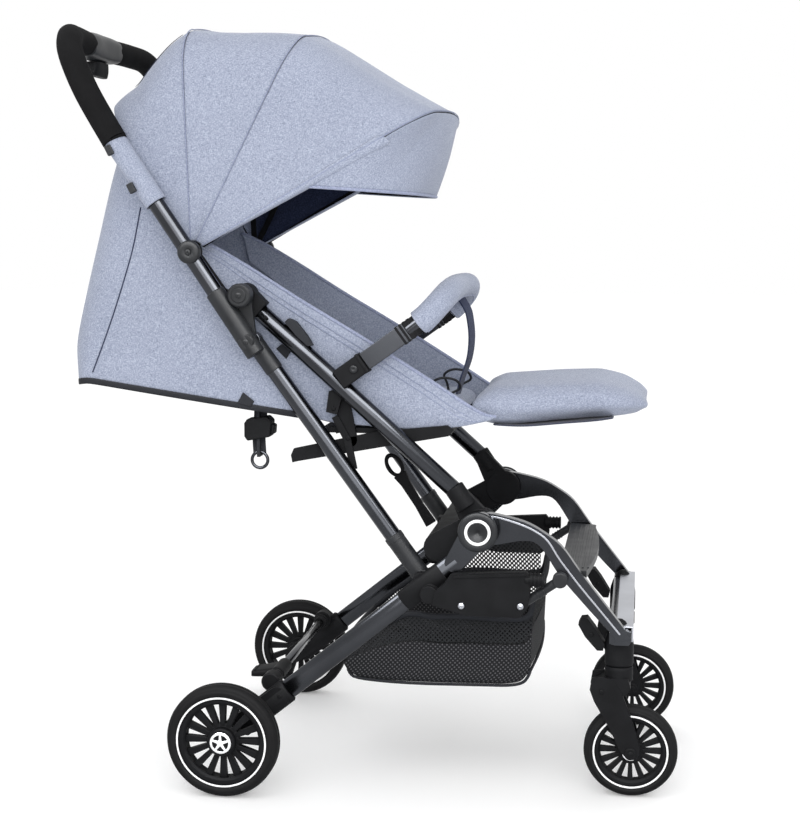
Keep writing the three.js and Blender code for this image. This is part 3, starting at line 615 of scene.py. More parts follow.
house = Piece()
sections = []
for k in range(13):
    y = -56 + 112 * k / 12
    swell = 1 - 0.16 * abs(y / 56) ** 4
    sections.append([(-238 + 4 * math.cos(0) * (y / 56) ** 2 + 18 * swell * math.copysign(abs(math.cos(a)) ** 0.7, math.cos(a)), y,
                      1006 + 19 * swell * math.copysign(abs(math.sin(a)) ** 0.7, math.sin(a)))
                     for a in [2 * math.pi * j / 32 for j in range(32)]])
house.grid(sections, wrap=True, caps=True)
house.make("handle_housing_moulding", SATIN, "handle", ["handle_housing"], "grey_plastic", bevel=1.5)
trigger = Piece()
rows = []
for k in range(9):
    z = 966 + 20 * k / 8
    r = 10 - 1.5 * (1 - k / 8) ** 3 * 3
    rows.append([(-238 + r * math.copysign(abs(math.cos(a)) ** 0.5, math.cos(a)),
                  (26 + 4 * (1 - k / 8)) * math.copysign(abs(math.sin(a)) ** 0.5, math.sin(a)), z)
                 for a in [2 * math.pi * j / 28 for j in range(28)]])
trigger.grid(rows, wrap=True, caps=True)
trigger.make("fold_trigger_moulding", PLASTIC, "trigger", ["fold_trigger"], "grey_plastic", bevel=1)

for side, s in SIDES:
    bracket = Piece()
    sleeve = mix(HANDLE_FOOT, HANDLE_BEND, 0.255)
    bracket.tube(line3(mix(HANDLE_FOOT, HANDLE_BEND, -0.05), sleeve, s * 193), 13, 36, chamfer=1.5)
    bracket.plate(bar(LINK_TOP, FOLD, 9, 11), s * 178, s * 185)
    bracket.plate(bar(FOLD, mix(HANDLE_FOOT, HANDLE_BEND, 0.18), 13, 9), s * 180, s * 194)
    bracket.disc(*FOLD, 15.5, s * 184, s * 205, edge=2)
    bracket.disc(*FOLD, 10, s * 204, s * 206.5)
    bracket.disc(*LINK_TOP, 11, s * 184, s * 205.5, edge=2)
    bracket.screw(*LINK_TOP, s * 205, s, 4)
    bracket.screw(*FOLD, s * 206, s, 4)
    bracket.make(f"handle_bracket_{side}_moulding", SATIN, "handle", [f"handle_bracket_{side}"], "black_plastic", bevel=1.4)


# ---------- rear legs ----------

for side, s in SIDES:
    leg = Piece()
    leg.disc(*HUB, 25, s * 181.6, s * 194.8, 56, edge=2)
    leg.plate(bar(HUB, mix(LEG_HIGH, LEG_LOW, 0.07), 21, 13), s * 181.6, s * 194.5)
    leg.tube(line3(LEG_HIGH, LEG_LOW, s * 188, 0.06, 0.8), 13.4, 44, flat=0.5)
    leg.make(f"rear_leg_{side}_plated", TUBE, "rear_legs", [f"rear_leg_{side}"], "gunmetal_tube", bevel=0.8)
    clamp = Piece()
    clamp.disc(*LINK_FOOT, 12, s * 178.2, s * 188)
    clamp.disc(*BRACE_REAR, 13, s * 182, s * 197.4)
    clamp.tube(line3(LEG_HIGH, LEG_LOW, s * 188, 0.12, 0.28), 14.6, 40, flat=0.56, chamfer=1.5)
    clamp.make(f"rear_leg_clamp_{side}", PLASTIC, "rear_legs", slot="black_plastic", bevel=0.8)

    foot = Piece()
    foot.tube(line3(LEG_LOW, LEG_HIGH, s * 188, 0.03, 0.24), 17, 40, flat=0.64, chamfer=2.4)
    foot.plate(bar(REAR_CENTRE, mix(LEG_LOW, LEG_HIGH, 0.2), 13, 15), s * 178, s * 198)
    foot.disc(51, 140, 13, s * 160, s * 180, edge=2)
    foot.disc(*REAR_CENTRE, 13, s * 196, s * 219.4, edge=2)
    foot.disc(*REAR_CENTRE, 16, s * 200, s * 206, edge=2)
    foot.disc(*REAR_CENTRE, 5, s * 210, s * 249)
    for x, z in ((44, 108), (68, 127)):
        foot.screw(x, z, s * 198.6, s, 3)
    foot.make(f"rear_foot_{side}_moulding", PLASTIC, "rear_legs", [f"rear_foot_{side}"], "black_plastic", bevel=1.5)

    link = Piece()
    link.disc(*LINK_TOP, 12, s * 156, s * 174)
    link.tube(line3(LINK_TOP, LINK_FOOT, s * 165, 0.02, 0.97), 11.2, 40)
    link.make(f"link_tube_{side}_plated", TUBE, "side_links", [f"link_tube_{side}"], "gunmetal_tube", bevel=0.6)
    ends = Piece()
    ends.tube(line3(LINK_TOP, LINK_FOOT, s * 165, 0.0, 0.13), 12.2, 36, chamfer=1.5)
    ends.tube(line3(LINK_TOP, LINK_FOOT, s * 165, 0.83, 0.99), 12.6, 36, chamfer=1.5)
    ends.tube(line3(LINK_TOP, LINK_FOOT, s * 165, 0.82, 0.845), 13, 36)
    ends.disc(*LINK_FOOT, 13, s * 156, s * 177.4)
    ends.screw(36, 590, s * 176.4, s, 3)
    ends.make(f"link_socket_{side}", SATIN, "side_links", slot="black_plastic", bevel=0.6)

axle = Piece().tube([(51, -160, 140), (51, 160, 140)], 6, 28)
axle.make("rear_axle_plated", TUBE, "rear_legs", ["rear_axle"], "gunmetal_tube")
axle_cover = Piece()
for s in (-1, 1):
    axle_cover.disc(51, 140, 9, s * 143, s * 161)
    axle_cover.disc(51, 140, 11, s * 150, s * 154)
axle_cover.make("rear_axle_collars", PLASTIC, "rear_legs", slot="black_plastic", bevel=0.6)

pedal = Piece()
pedal.disc(51, 140, 10, -140, -92)
rows = []
for k in range(11):
    t = k / 10
    x, z = mix((51, 141), (12, 136), t)
    tall = 7 - 2.4 * t
    wide = 20 - 4 * t ** 3
    rows.append([(x, -116 + wide * math.copysign(abs(math.cos(a)) ** 0.4, math.cos(a)),
                  z + tall * math.copysign(abs(math.sin(a)) ** 0.6, math.sin(a))) for a in [2 * math.pi * j / 28 for j in range(28)]])
pedal.grid(rows, wrap=True, caps=True)
for k in range(5):
    pedal.plate([(16 + 5 * k, 139.5), (18 + 5 * k, 139.5), (18 + 5 * k, 142.6), (16 + 5 * k, 142.4)], -131, -101)
pedal.make("brake_pedal_moulding", PLASTIC, "brake", ["brake_pedal"], "black_plastic", bevel=0.6)


# ---------- folding brace ----------

for side, s in SIDES:
    cover = Piece()
    cover.plate([(291.6, 292), (299, 303), (303, 305), (398, 311), (402, 306), (403.5, 285), (401, 264), (391, 250),
                 (321, 250), (306, 254), (275, 262), (280, 282)], s * 198, s * 208)
    cover.plate([(303, 303), (397, 309), (399, 305.5), (303, 299.5)], s * 207, s * 209.6)
    cover.tube(line3((396, 299), (420, 299), s * 201), 8, 28)
    for k in range(4):
        cover.tube(line3((403 + 5 * k, 299), (406 + 5 * k, 299), s * 201), 9.4, 28, chamfer=0.5)
    cover.disc(*BRACE_REAR, 12, s * 198, s * 206)
    cover.make(f"brace_box_{side}_moulding", PLASTIC, "brace_boxes", [f"brace_box_{side}"], "black_plastic", bevel=2.2)
    heads = Piece()
    heads.screw(314, 263, s * 208, s, 4.4)
    heads.screw(391, 265, s * 208, s, 4.4)
    heads.make(f"brace_screws_{side}", BRIGHT, "brace_boxes", slot="bright_metal")
    rod = Piece()
    rod.disc(*KNEE, 9, s * 184, s * 197.4)
    rod.tube(line3(KNEE, BRACE_FRONT, s * 190, 0.05, 0.95), 6, 28)
    for k in range(3):
        rod.tube(line3(KNEE, BRACE_FRONT, s * 190, 0.44 + 0.07 * k, 0.47 + 0.07 * k), 7, 28, chamfer=0.6)
    rod.disc(*BRACE_FRONT, 10, s * 182, s * 197)
    rod.make(f"brace_rod_{side}_plated", SATIN, "brace_rods", [f"brace_rod_{side}"], "gunmetal_tube", bevel=0.6)


# ---------- front legs ----------

LEG_UPPER = [(338, 382), (356, 380), (393, 371), (419, 357.5), (442, 340), (466, 307.5), (492, 274), (529, 227.5), (533, 220)]
LEG_UNDER = [(336, 338), (359, 340), (393, 346), (414, 339), (440, 301), (467, 270), (488, 247), (509, 225), (512, 216)]
# Line of the painted highlight along the top of each front leg.
LEG_HIGHLIGHT_LINE = [(340, 377), (359, 376), (387.5, 368), (408, 359), (424, 347), (440, 322.5), (466, 289), (493, 257), (519, 226)]
legs = Piece()
for side, s in SIDES:
    legs.plate(curve(LEG_UPPER, 32) + curve(LEG_UNDER, 32)[::-1], s * 168, s * 181)
    legs.disc(*HUB, 24, s * 167.6, s * 181, 56, edge=2)
legs.plate([(505, 213), (512, 211), (530, 211), (533, 215), (533, 229), (528, 231), (510, 231), (505, 228)], -180.2, 180.2)
legs.make("front_frame_plated", TUBE, "front_legs", ["front_frame"], "gunmetal_tube", bevel=1.6)

# Painted highlight: a thin bright strip on each front leg's outer face, where light catches the tube.
highlight_strip = Piece()
for side, s in SIDES:
    highlight_strip.plate(band(curve(LEG_HIGHLIGHT_LINE, 32), 1.2), s * 180.6, s * 182)
highlight_strip.make("front_leg_painted_highlights", BRIGHT, "front_legs", slot="bright_metal", bevel=0.4)

knuckle = Piece()
for side, s in SIDES:
    rows = []
    for z, r in ((178, 17.4), (180, 19), (206, 19), (214, 18), (222, 15.5), (230, 12), (236, 8), (239, 4)):
        rows.append([(518 + r * math.cos(a), s * 150 + r * math.sin(a), z) for a in [2 * math.pi * j / 40 for j in range(40)]])
    knuckle.grid(rows, wrap=True, caps=True)
knuckle.make("front_leg_moulding", PLASTIC, "front_legs", slot="black_plastic", bevel=0.8)

strip = Piece()
strip.plate([(533.4, 213), (536, 213), (536, 233.4), (514, 233.4), (514, 231.4), (533.4, 231.4)], -167, 167)
strip.make("front_strip_plated", BRIGHT, "front_legs", ["front_strip"], "bright_metal", bevel=0.6)

board = Piece()
edge = [(438, -166)] + [(474 + 11 * math.cos(math.pi / 2 * y / 166), y) for y in range(-166, 167, 12)] + [(438, 166)]
n = len(edge)
board.add([(x, y, 296) for x, y in edge] + [(x, y, 306) for x, y in edge],
          [tuple(reversed(range(n))), tuple(range(n, 2 * n))] + [(i, (i + 1) % n, (i + 1) % n + n, i + n) for i in range(n)])
for x in range(446, 476, 7):
    board.add([(x, -150, 305.5), (x + 3, -150, 305.5), (x + 3, 150, 305.5), (x, 150, 305.5),
               (x, -150, 307.2), (x + 3, -150, 307.2), (x + 3, 150, 307.2), (x, 150, 307.2)],
              [(0, 3, 2, 1), (4, 5, 6, 7), (0, 1, 5, 4), (1, 2, 6, 5), (2, 3, 7, 6), (3, 0, 4, 7)])
board.make("footboard_moulding", SATIN, "front_legs", ["footboard"], "black_plastic", bevel=1)

for side, s in SIDES:
    c = s * 150
    fork = Piece()
    arm = [(483, 163), (480.5, 147), (486.5, 131), (494.5, 117), (508, 93.5), (522, 64), (532, 54), (544, 54.5), (547.6, 71),
           (540.6, 95), (531, 122), (521.5, 146), (512, 159), (499, 165)]
    for t in (-1, 1):
        fork.plate(arm, c + t * 14.2, c + t * 19.6)
        fork.disc(*FRONT_CENTRE, 8, c + t * 18, c + t * 21.4)
        fork.screw(*FRONT_CENTRE, c + t * 21.4, t, 4)
        fork.screw(496, 145, c + t * 19.6, t, 3)
    fork.plate([(486, 142), (528, 140), (534, 150), (530, 163), (498, 163), (486, 156)], c - 19, c + 19)
    rows = []
    for k in range(8):
        z = 158 + 19 * k / 7
        r = 18.6 - (1 if k == 7 else 0)
        rows.append([(518 + r * math.cos(a), c + r * math.sin(a), z) for a in [2 * math.pi * j / 40 for j in range(40)]])
    fork.grid(rows, wrap=True, caps=True)
    fork.disc(*FRONT_CENTRE, 4, c - 15, c + 15)
    fork.make(f"caster_fork_{side}_moulding", PLASTIC, f"caster_{side}", [f"caster_fork_{side}"], "black_plastic", bevel=1.6)
    lock = Piece()
    lock.plate([(464, 232), (468, 240), (476, 241), (486, 228), (499, 207), (497, 198), (489, 198), (473, 216)],
               c - 11, c + 11)
    lock.screw(481.5, 219, c - 11, -1, 3)
    lock.screw(481.5, 219, c + 11, 1, 3)
    lock.make(f"swivel_lock_{side}_moulding", PLASTIC, f"lock_{side}", [f"swivel_lock_{side}"], "grey_plastic", bevel=2)


# ---------- canopy ----------

REACH = [(28, 384), (29.6, 379), (34.4, 364), (41.6, 349), (47.9, 341), (54, 335), (60.8, 330), (68, 321), (80, 307),
         (86.7, 302), (92, 303), (97, 290), (104, 267), (110.6, 247), (117, 243), (122, 238)]


def hoop(angle, reach, u, half=176, corner=62, crown=9, foot=12):
    """A point on a boxy hoop that stands on the canopy pivots; u runs from the right foot to the left foot."""
    side = -1 if u < 0.5 else 1
    v = 1 - abs(2 * u - 1)
    leg_end, bend_end = 0.42, 0.62
    if v < leg_end:
        t = v / leg_end
        across, out = half - 2 * t * t, foot + (reach - crown - corner - foot) * t
    elif v < bend_end:
        t = (v - leg_end) / (bend_end - leg_end) * math.pi / 2
        across, out = half - 2 - corner + corner * math.cos(t), reach - crown - corner + corner * math.sin(t)
    else:
        t = (v - bend_end) / (1 - bend_end)
        across = (half - 2 - corner) * (1 - t)
        out = reach - crown * (1 - t) ** 2
    a = math.radians(angle)
    return (CANOPY[0] + out * math.cos(a), side * across, CANOPY[1] + out * math.sin(a))


def canopy_panel(name, a0, a1, body_a, body_b, sag, replaces=(), mat=FABRIC, inset=0, slot="grey_fabric"):
    """Cloth between two bows, pulled in a little between them."""
    piece = Piece()
    rows = []
    for i in range(13):
        t = i / 12
        angle = a0 + (a1 - a0) * t
        dip = sag * math.sin(math.pi * t) + inset
        half = 176 - dip * 0.5
        rows.append([hoop(angle, look_up(REACH, angle) - dip, 0.002 + 0.996 * k / 72, half=half) for k in range(73)])
    piece.grid(rows)
    obj = piece.make(name, mat, None, replaces, slot, thick=1.6)
    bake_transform(obj)
    return obj


def hoop_seam(name, angle, body, size=0.8, lift=1.2, mat=THREAD):
    seam = Piece()
    reach = look_up(REACH, angle) + lift
    seam.tube([hoop(angle, reach, 0.004 + 0.992 * k / 90, half=176 + lift) for k in range(91)], size, 8, chamfer=0.3)
    return seam.make(name, mat, body, slot="grey_fabric")


rear_panel = canopy_panel("canopy_rear_panel", 121, 92, "frame", "rear_bow", 0, ["canopy_cover"])
second_panel = canopy_panel("canopy_second_panel", 92, 63, "rear_bow", "middle_bow", 5)
third_panel = canopy_panel("canopy_third_panel", 63, 29.6, "middle_bow", "front_bow", 7)
hoop_seam("canopy_seam_rear", 92, "rear_bow")
hoop_seam("canopy_seam_middle", 63, "middle_bow")
hoop_seam("canopy_seam_front", 30, "front_bow")
hem = Piece()
for start in (0.003, 0.797):
    hem.grid([[hoop(angle, look_up(REACH, angle) + lift, start + 0.2 * k / 30, half=176.5 + min(lift, 0.5)) for k in range(31)]
              for angle, lift in ((31, 0.8), (29.4, 1.2), (28.2, 0), (27.6, -5), (27.8, -11), (28.6, -17))])
slit = Piece()
slit.grid([[hoop(angle, look_up(REACH, angle) + 1.4, u, half=177) for u in (0.29, 0.294, 0.298)] for angle in range(94, 114, 2)])
slit_obj = slit.make("canopy_rear_slit", LINING, None, slot="navy_fabric", thick=0.8)
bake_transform(slit_obj)
hem_obj = hem.make("canopy_front_hem", FABRIC, "front_bow", slot="grey_fabric", thick=1.4)


def visor_point(t, v):
    """t from the front bow to the rim, v from right to left."""
    root = Vector(hoop(29.6, look_up(REACH, 29.6) - 1, 0.21 + 0.58 * v))
    turn = math.pi * v
    across = -math.copysign(abs(math.cos(turn)) ** 0.62, math.cos(turn)) * 172
    ahead = math.sin(turn) ** 0.66 * 141 if 0 < v < 1 else 0
    rim = Vector((104 + ahead, across, 806 - ahead * 0.065))
    swell = math.sin(math.pi * t) * math.sin(math.pi * v)
    return root.lerp(rim, t) + Vector((5, 0, 3)) * swell


visor = Piece().grid([[visor_point(i / 12, k / 60) for k in range(61)] for i in range(13)])
visor_obj = visor.make("canopy_visor", FABRIC, None, (), "grey_fabric", thick=1.8)
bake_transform(visor_obj)
rim = Piece().tube([visor_point(1, k / 80) - Vector((0, 0, 1)) for k in range(81)], 2.2, 12, chamfer=0.4)
rim_obj = rim.make("visor_binding", BINDING, "visor", slot="grey_fabric")

for args, flat, area, bows in (
        (("canopy_lining_rear", 92, 63, "rear_bow", "middle_bow", 5), (0.82, 0.15), 0.083, ["canopy_bow_rear", "canopy_bow_middle"]),
        (("canopy_lining_front", 63, 30, "middle_bow", "front_bow", 7), (0.88, 0.19), 0.117, ["canopy_bow_middle", "canopy_bow_front"])):
    lining = canopy_panel(*args, mat=LINING, inset=11, slot="navy_fabric")

bow = Piece().tube([hoop(30, look_up(REACH, 30) - 7, 0.003 + 0.994 * k / 90, half=172) for k in range(91)], 3, 12)
bow.make("canopy_bow_front_moulding", PLASTIC, "front_bow", ["canopy_bow_front"], "black_plastic")
rim_bow = Piece().tube([visor_point(1, k / 80) * 0.985 + Vector((0.5, 0, 12.5)) for k in range(81)], 2.4, 12, chamfer=0.4)
rim_bow.make("visor_bow_moulding", PLASTIC, "visor", ["visor_bow"], "black_plastic")
for name in ("canopy_bow_rear", "canopy_bow_middle"):
    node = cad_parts[name]
    node.data.materials.clear()
    node.data.materials.append(PLASTIC)


# ---------- seat and backrest ----------

def puffed(piece, name, mat, body, replaces, slot, pressure=4.0, cap=8, voxel=5):
    """A stuffed pad: its closed shape is blown up as cloth, then kept within a few millimetres."""
    obj = piece.make(name, mat, None, (), slot)
    bpy.context.view_layer.objects.active = obj
    obj.select_set(True)
    remesh = obj.modifiers.new("remesh", "REMESH")
    remesh.mode = "VOXEL"
    remesh.voxel_size = voxel / 1000
    bpy.ops.object.modifier_apply(modifier="remesh")
    rest = [v.co.copy() for v in obj.data.vertices]
    cloth = obj.modifiers.new("puff", "CLOTH")
    cloth.settings.use_pressure = True
    cloth.settings.uniform_pressure_force = pressure
    cloth.settings.effector_weights.gravity = 0
    cloth.settings.quality = 5
    cloth.settings.tension_stiffness = 18
    cloth.settings.compression_stiffness = 18
    cloth.settings.bending_stiffness = 0.4
    scene = bpy.context.scene
    for number in range(1, 21):
        scene.frame_set(number)
    bpy.context.view_layer.update()
    shaped = obj.evaluated_get(bpy.context.evaluated_depsgraph_get())
    moved = [v.co.copy() for v in shaped.data.vertices]
    obj.modifiers.remove(cloth)
    scene.frame_set(1)
    for vertex, start, end in zip(obj.data.vertices, rest, moved):
        step = end - start
        limit = cap / 1000
        vertex.co = start + (step if step.length < limit else step.normalized() * limit)
    obj.data.shade_smooth()
    mod = obj.modifiers.new("smooth", "SUBSURF")
    mod.levels = mod.render_levels = 1
    obj.select_set(False)
    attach(obj, body)
    if replaces:
        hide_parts(*replaces)
    return obj


SEAT_TOP = [(-66, 744), (-26, 725), (24, 696), (87, 657), (150, 620), (212, 583), (262, 552), (327, 511), (352, 504)]
SEAT_LOW = [(-56, 700), (-6, 660), (24, 600), (70, 520), (118, 494), (180, 488), (240, 485), (298, 489), (345, 500)]
top_line, low_line = curve(SEAT_TOP, 48), curve(SEAT_LOW, 48)
for side, s in SIDES:
    panel = Piece()
    rows = []
    for k in range(9):
        t = k / 8
        rows.append([(a[0] + (b[0] - a[0]) * t, s * (144 + 2.2 * math.sin(math.pi * t)), a[1] + (b[1] - a[1]) * t)
                     for a, b in zip(top_line, low_line)])
    panel.grid(rows)
    obj = panel.make(f"seat_side_{side}", FABRIC, "frame", ["seat_sling"] if s < 0 else (), "grey_fabric", thick=2.2)
    trim = Piece()
    trim.tube([(x, s * 144, z) for x, z in top_line], 2.4, 12, chamfer=0.5)
    trim.make(f"seat_side_binding_{side}", BINDING, "frame", slot="grey_fabric")
    stitches = Piece()
    for depth in (13, 20):
        line = [mix(a, b, depth / max(30, math.dist(a, b))) for a, b in zip(top_line, low_line)]
        stitches.tube([(x, s * (145.9 + 0.9 * depth / 20), z) for x, z in line[1:-3]], 0.7, 6, chamfer=0.2)
    stitches.make(f"seat_side_stitching_{side}", THREAD, "frame", slot="grey_fabric")

seat = Piece()
seat.plate([(124, 493), (128, 490), (292, 490), (296, 496), (296, 508), (288, 511), (130, 511), (122, 506)], -138, 138)
puffed(seat, "seat_pad", FABRIC, "frame", (), "grey_fabric", cap=6)

back = Piece()
back.plate([(92, 505), (98, 500), (-158, 541), (-164, 547), (-160, 560), (-150, 563), (88, 526), (96, 518)], -132, 132)
puffed(back, "backrest_cushion", FABRIC, "backrest", ["backrest_pad"], "navy_fabric", cap=6)
plate_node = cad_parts["backrest_board"]
plate_node.data.materials.clear()
plate_node.data.materials.append(WEBBING)

# ---------- enclosure behind the backrest ----------

BACK_EDGE = [(-238, 540), (-246, 572), (-246, 600), (-230, 671), (-212, 742), (-193, 816), (-178, 863), (-164, 905)]
CORNER = [(-207, 546), (-189, 590), (-172, 634), (-156, 680), (-143, 721), (-134, 760), (-127, 800), (-122, 880)]
FRONT_EDGE = [(108, 501), (94, 521), (72, 552), (50, 583), (26, 616), (2, 648), (-22, 680), (-52, 716)]
back_line, corner_line, front_line = curve(BACK_EDGE, 24), curve(CORNER, 24), curve(FRONT_EDGE, 24)


def enclosure_row(i, half):
    """One level of the tub, from the right front edge round the back to the left front edge."""
    b, c, f = back_line[i], corner_line[i], front_line[i]
    right = []
    for k in range(15):
        t = k / 14
        p = mix(f, c, t)
        bow = 4 * math.sin(math.pi * t)
        right.append((p[0], -(half + bow), p[1]))
    for k in range(1, 13):
        t = k / 12
        a = t * math.pi / 2
        x = c[0] + (b[0] - c[0]) * math.sin(a) ** 0.75
        z = c[1] + (b[1] - c[1]) * math.sin(a)
        right.append((x, -half * math.cos(a) ** 0.62 if t < 1 else 0.0, z))
    return right + [(x, -y, z) for x, y, z in right[-2::-1]]


enclosure = Piece().grid([enclosure_row(i, 149) for i in range(25)])
cover = enclosure.make("back_enclosure_cloth", FABRIC, None, ["back_enclosure"], "grey_fabric", thick=1.8)
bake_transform(cover)

hem = Piece()
low = enclosure_row(0, 150.4)
rows = [[(x, y, z - 6) for x, y, z in low], [(x, y * 1.004, z) for x, y, z in low], [(x, y * 1.004, z + 3) for x, y, z in low]]
hem.grid(rows)
obj = hem.make("enclosure_band", WEBBING, "backrest", slot="navy_fabric", thick=1.6)

seams = Piece()
for s in (-1, 1):
    line = [(x + 2, s * 150.4, z) for x, z in corner_line[1:20]]
    seams.tube(line, 0.9, 8, chamfer=0.3)
seam_obj = seams.make("enclosure_seams", LINING, None, slot="grey_fabric")
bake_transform(seam_obj)


# ---------- leg rest ----------

rest = Piece()
rows = []
for k in range(25):
    t = k / 24
    x = 316 + 238 * t
    wide = 138 * (1 - 0.34 * max(0, (t - 0.72) / 0.28) ** 2.2)
    topz = look_up([(316, 526), (344, 537), (427, 543), (482, 545), (517, 538), (545, 525), (560, 512)], x)
    lowz = look_up([(316, 497), (353, 491), (430, 500), (501, 506), (560, 510)], x)
    mid, tall = (topz + lowz) / 2, (topz - lowz) / 2
    rows.append([(x, wide * math.copysign(abs(math.cos(a)) ** 0.35, math.cos(a)),
                  mid + tall * math.copysign(abs(math.sin(a)) ** 0.55, math.sin(a)) * (1 - 0.25 * abs(math.cos(a)) ** 6))
                 for a in [2 * math.pi * j / 56 for j in range(56)]])
rest.grid(rows, wrap=True, caps=True)
puffed(rest, "leg_rest_pad", FABRIC, "leg_support", ["leg_rest"], "grey_fabric", cap=5, pressure=3)


flap = Piece()
FLAP_LINE = [(345, 491), (387, 490), (440, 495), (481, 499), (505, 503)]
flap.grid([[(x, y, z - 1.5 * math.cos(y / 90)) for y in range(-126, 127, 12)] for x, z in curve(FLAP_LINE, 20)])
flap_obj = flap.make("leg_rest_underside", LINING, "leg_support", slot="navy_fabric", thick=2)


# ---------- bumper bar ----------

BUMPER_FOOT, SHOULDER = (154, 558), (246, 624)
PAD_BEND = [(263, 167, 638), (277, 155, 654), (284, 125, 665), (286, 80, 670)]
pad_points = [(x, -y, z) for x, y, z in PAD_BEND] + [(284, 0, 671)] + PAD_BEND[::-1]
arm_start = mix(BUMPER_FOOT, SHOULDER, 0.9)
ends = [[(arm_start[0], s * 168, arm_start[1])] for s in (-1, 1)]
rod = Piece().tube(curve(ends[0] + pad_points + ends[1], 90), 9, 32)


def arm_length(t0, t1, half=12.4):
    """Side view of a straight length of the flat arm."""
    a, b = mix(BUMPER_FOOT, SHOULDER, t0), mix(BUMPER_FOOT, SHOULDER, t1)
    return band([a, mix(a, b, 0.5), b], half)


for side, s in SIDES:
    rod.plate(arm_length(0.29, 1.0), s * 161.5, s * 174.5)
rod.make("bumper_bar_plated", TUBE, "bumper", ["bumper_bar"], "gunmetal_tube", bevel=1.6)
pad_line = curve([(251, -168, 628)] + pad_points + [(251, 168, 628)], 84)
pad = Piece().tube(pad_line, 16.8, 40, chamfer=4)
pad_obj = pad.make("bumper_pad_cloth", FABRIC, "bumper", ["bumper_pad"], "grey_fabric")
piping = Piece()
piping.tube([(p[0] + 8, p[1], p[2] - 15) for p in pad_line[4:-4]], 1.0, 8, chamfer=0.3)
piping.make("bumper_pad_piping", BINDING, "bumper", slot="grey_fabric")
for side, s in SIDES:
    socket = Piece()
    socket.plate(arm_length(-0.08, 0.28, 13.4), s * 158, s * 181)
    socket.plate(arm_length(0.24, 0.285, 14.4), s * 157.6, s * 181.6)
    socket.make(f"bumper_socket_{side}_moulding", PLASTIC, "frame", [f"bumper_socket_{side}"], "black_plastic", bevel=1.4)
    collar = Piece()
    collar.plate(arm_length(0.9, 1.08, 12.8), s * 161, s * 175)
    for k in range(4):
        collar.plate(arm_length(0.8 + 0.055 * k, 0.83 + 0.055 * k, 13.4), s * 160.6, s * 175.4)
    collar.make(f"bumper_collar_{side}", PLASTIC, "bumper", slot="black_plastic", bevel=0.6)
    button = Piece()
    button.disc(*mix(BUMPER_FOOT, SHOULDER, 0.15), 5.2, s * 179.5, s * 183.5, edge=0.8)
    button.make(f"bumper_button_{side}_moulding", SATIN, f"button_{side}", [f"bumper_button_{side}"], "grey_plastic")


# ---------- basket ----------

basket = Piece()
RIM = [(140, 170), (170, 196), (205, 220), (236, 234), (268, 231), (300, 233), (340, 232), (380, 232), (398, 238), (404, 262)]
FLOOR_LINE = [(150, 150), (160, 140), (200, 136), (250, 135), (300, 136), (340, 137), (370, 138), (388, 142), (396, 150), (400, 160)]


def basket_ring(t):
    """A level of the tub: t from the floor's edge to the rim."""
    rim, low = curve(RIM, 40), curve(FLOOR_LINE, 40)
    side_line = [mix(a, b, t) for a, b in zip(low, rim)]
    half = 136 + 8 * t ** 0.5 + 3 * math.sin(math.pi * t)
    right = [(x, -half, z) for x, z in side_line]
    front = [(side_line[-1][0] + 6 * math.sin(math.pi * k / 14), -half + 2 * half * k / 14, side_line[-1][1]) for k in range(1, 14)]
    left = [(x, half, z) for x, z in side_line[::-1]]
    rear = [(side_line[0][0] - 6 * math.sin(math.pi * k / 14), half - 2 * half * k / 14, side_line[0][1]) for k in range(1, 14)]
    return right + front + left + rear


rings = [basket_ring(i / 8) for i in range(9)]
floor_rings = [[(270 + (x - 270) * f, y * f, 134 + (z - 134) * f ** 2) for x, y, z in rings[0]] for f in (0.02, 0.3, 0.6, 0.85)]
basket.grid(floor_rings + rings[:6], wrap=True)
tub = basket.make("basket_net", MESH, "frame", ["basket"], "mesh_fabric", thick=1)
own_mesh(tub)
upper = Piece().grid(rings[5:], wrap=True).make("basket_upper_net", OPEN_MESH, "frame", slot="mesh_fabric", thick=1)
rise = Piece()
rise.grid([[(x, 62 + 0.1 * (z - 234), z) for x in range(268, 401, 12)] for z in range(234, 321, 8)])
rise_net = rise.make("basket_rise_net", OPEN_MESH, "frame", slot="mesh_fabric", thick=1)
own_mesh(rise_net)
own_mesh(upper)
edge_tape = Piece()
edge_tape.tube([Vector(p) for p in rings[-1]] + [Vector(rings[-1][0])], 4, 10, chamfer=0.5)
edge_tape.tube([Vector(p) for p in rings[0]] + [Vector(rings[0][0])], 2.2, 8, chamfer=0.5)
tape = edge_tape.make("basket_binding", WEBBING, "frame", slot="mesh_fabric")
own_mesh(tape)


# ---------- straps ----------

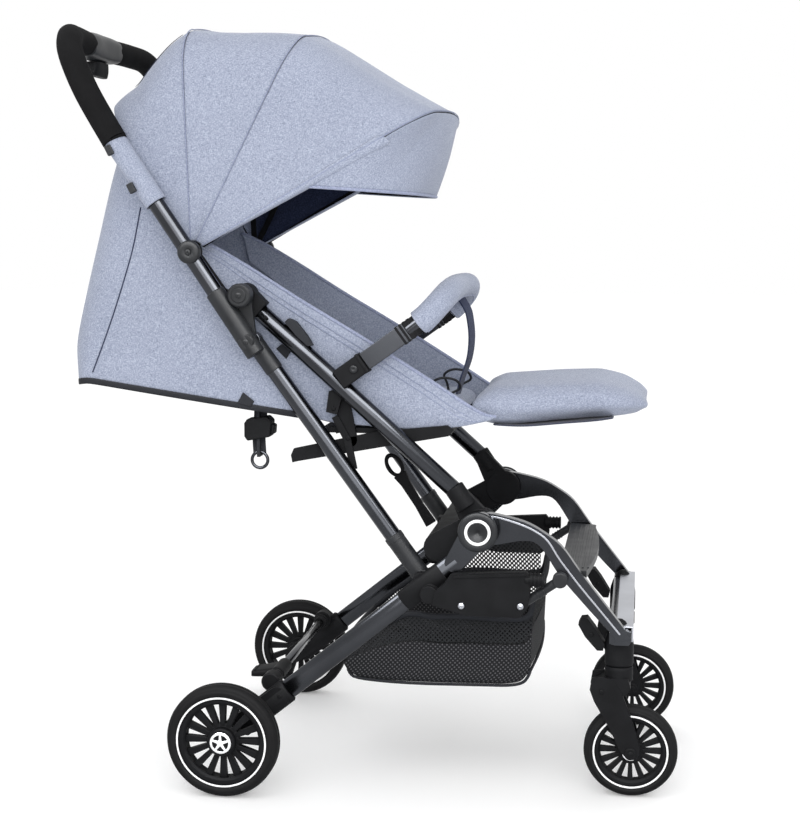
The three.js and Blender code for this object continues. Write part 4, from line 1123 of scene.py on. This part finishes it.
def strap(name, points, width, thick, mat, body, slot="navy_fabric", twist=None):
    """A flat strap along a path; width lies along Y, turned by twist degrees at each point."""
    rows = []
    for i, p in enumerate(points):
        a, b = Vector(points[max(i - 1, 0)]), Vector(points[min(i + 1, len(points) - 1)])
        ahead = (b - a).normalized()
        side = Vector((0, 1, 0))
        side = (side - ahead * side.dot(ahead)).normalized()
        if twist:
            side = Matrix.Rotation(math.radians(look_up(twist, i / (len(points) - 1))), 3, ahead) @ side
        up = ahead.cross(side)
        rows.append([Vector(p) + side * (u * width / 2) + up * (v * thick / 2)
                     for u, v in ((-1, -1), (1, -1), (1, 1), (-1, 1))])
    piece = Piece().grid(rows, wrap=True, caps=True)
    obj = piece.make(name, mat, body, slot=slot, bevel=0.4)
    return obj


crotch = curve([(287, 0, 655), (296, 0, 640), (300, 0, 628), (303, 0, 600), (300, 0, 570), (290, 0, 540), (284, 0, 518)], 30)
crotch_obj = strap("crotch_strap", crotch, 20, 2.4, LINING, "frame", "grey_fabric", [(0, 22), (0.5, 17), (1, 8)])

loops = Piece()
for y in (-70, 62):
    line = curve([(264, y, 510), (261, y - 4, 527), (258, y - 14, 541), (272, y - 18, 549), (290, y - 6, 545),
                  (294, y + 8, 533), (281, y + 8, 524), (276, y + 6, 510)], 40)
    loops.tube(line, 1.8, 10, chamfer=0.4)
loops.make("harness_loops", WEBBING, "frame", slot="navy_fabric")

webbing = strap("recline_strap", curve([(29, -128, 508), (28, -128, 490), (26, -128, 470), (27, -128, 446)], 12), 18, 2, WEBBING,
                "backrest", twist=[(0, 88), (1, 88)])
buckle = Piece()
buckle.plate([(12, 464), (44, 470), (46, 492), (40, 498), (12, 494), (8, 488), (8, 470)], -140, -116)
buckle.plate([(44, 472), (49, 474), (50, 486), (45, 488)], -137, -119)
buckle.make("recline_adjuster", PLASTIC, "backrest", slot="black_plastic", bevel=2)
ring_node = Piece()
ring_rows = []
for k in range(49):
    a = 2 * math.pi * k / 48
    centre = Vector((27 + 11 * math.cos(a), -128, 436.8 + 11 * math.sin(a)))
    out = Vector((math.cos(a), 0, math.sin(a)))
    ring_rows.append([centre + out * 2.3 * math.cos(b) + Vector((0, 2.3 * math.sin(b), 0)) for b in [2 * math.pi * j / 12 for j in range(12)]])
ring_node.grid(ring_rows, wrap=True)
ring_node.make("recline_ring_metal", TUBE, "strap_ring", ["recline_ring"], "bright_metal")


# ---------- floor ----------

floor_mesh = bpy.data.meshes.new("floor")
floor_mesh.from_pydata([(-14, -10, 0), (14, -10, 0), (14, 16, 0), (-14, 16, 0)], [], [(0, 1, 2, 3)])
floor_mesh.materials.append(FLOOR)
floor_obj = bpy.data.objects.new("floor", floor_mesh)
bpy.context.scene.collection.objects.link(floor_obj)
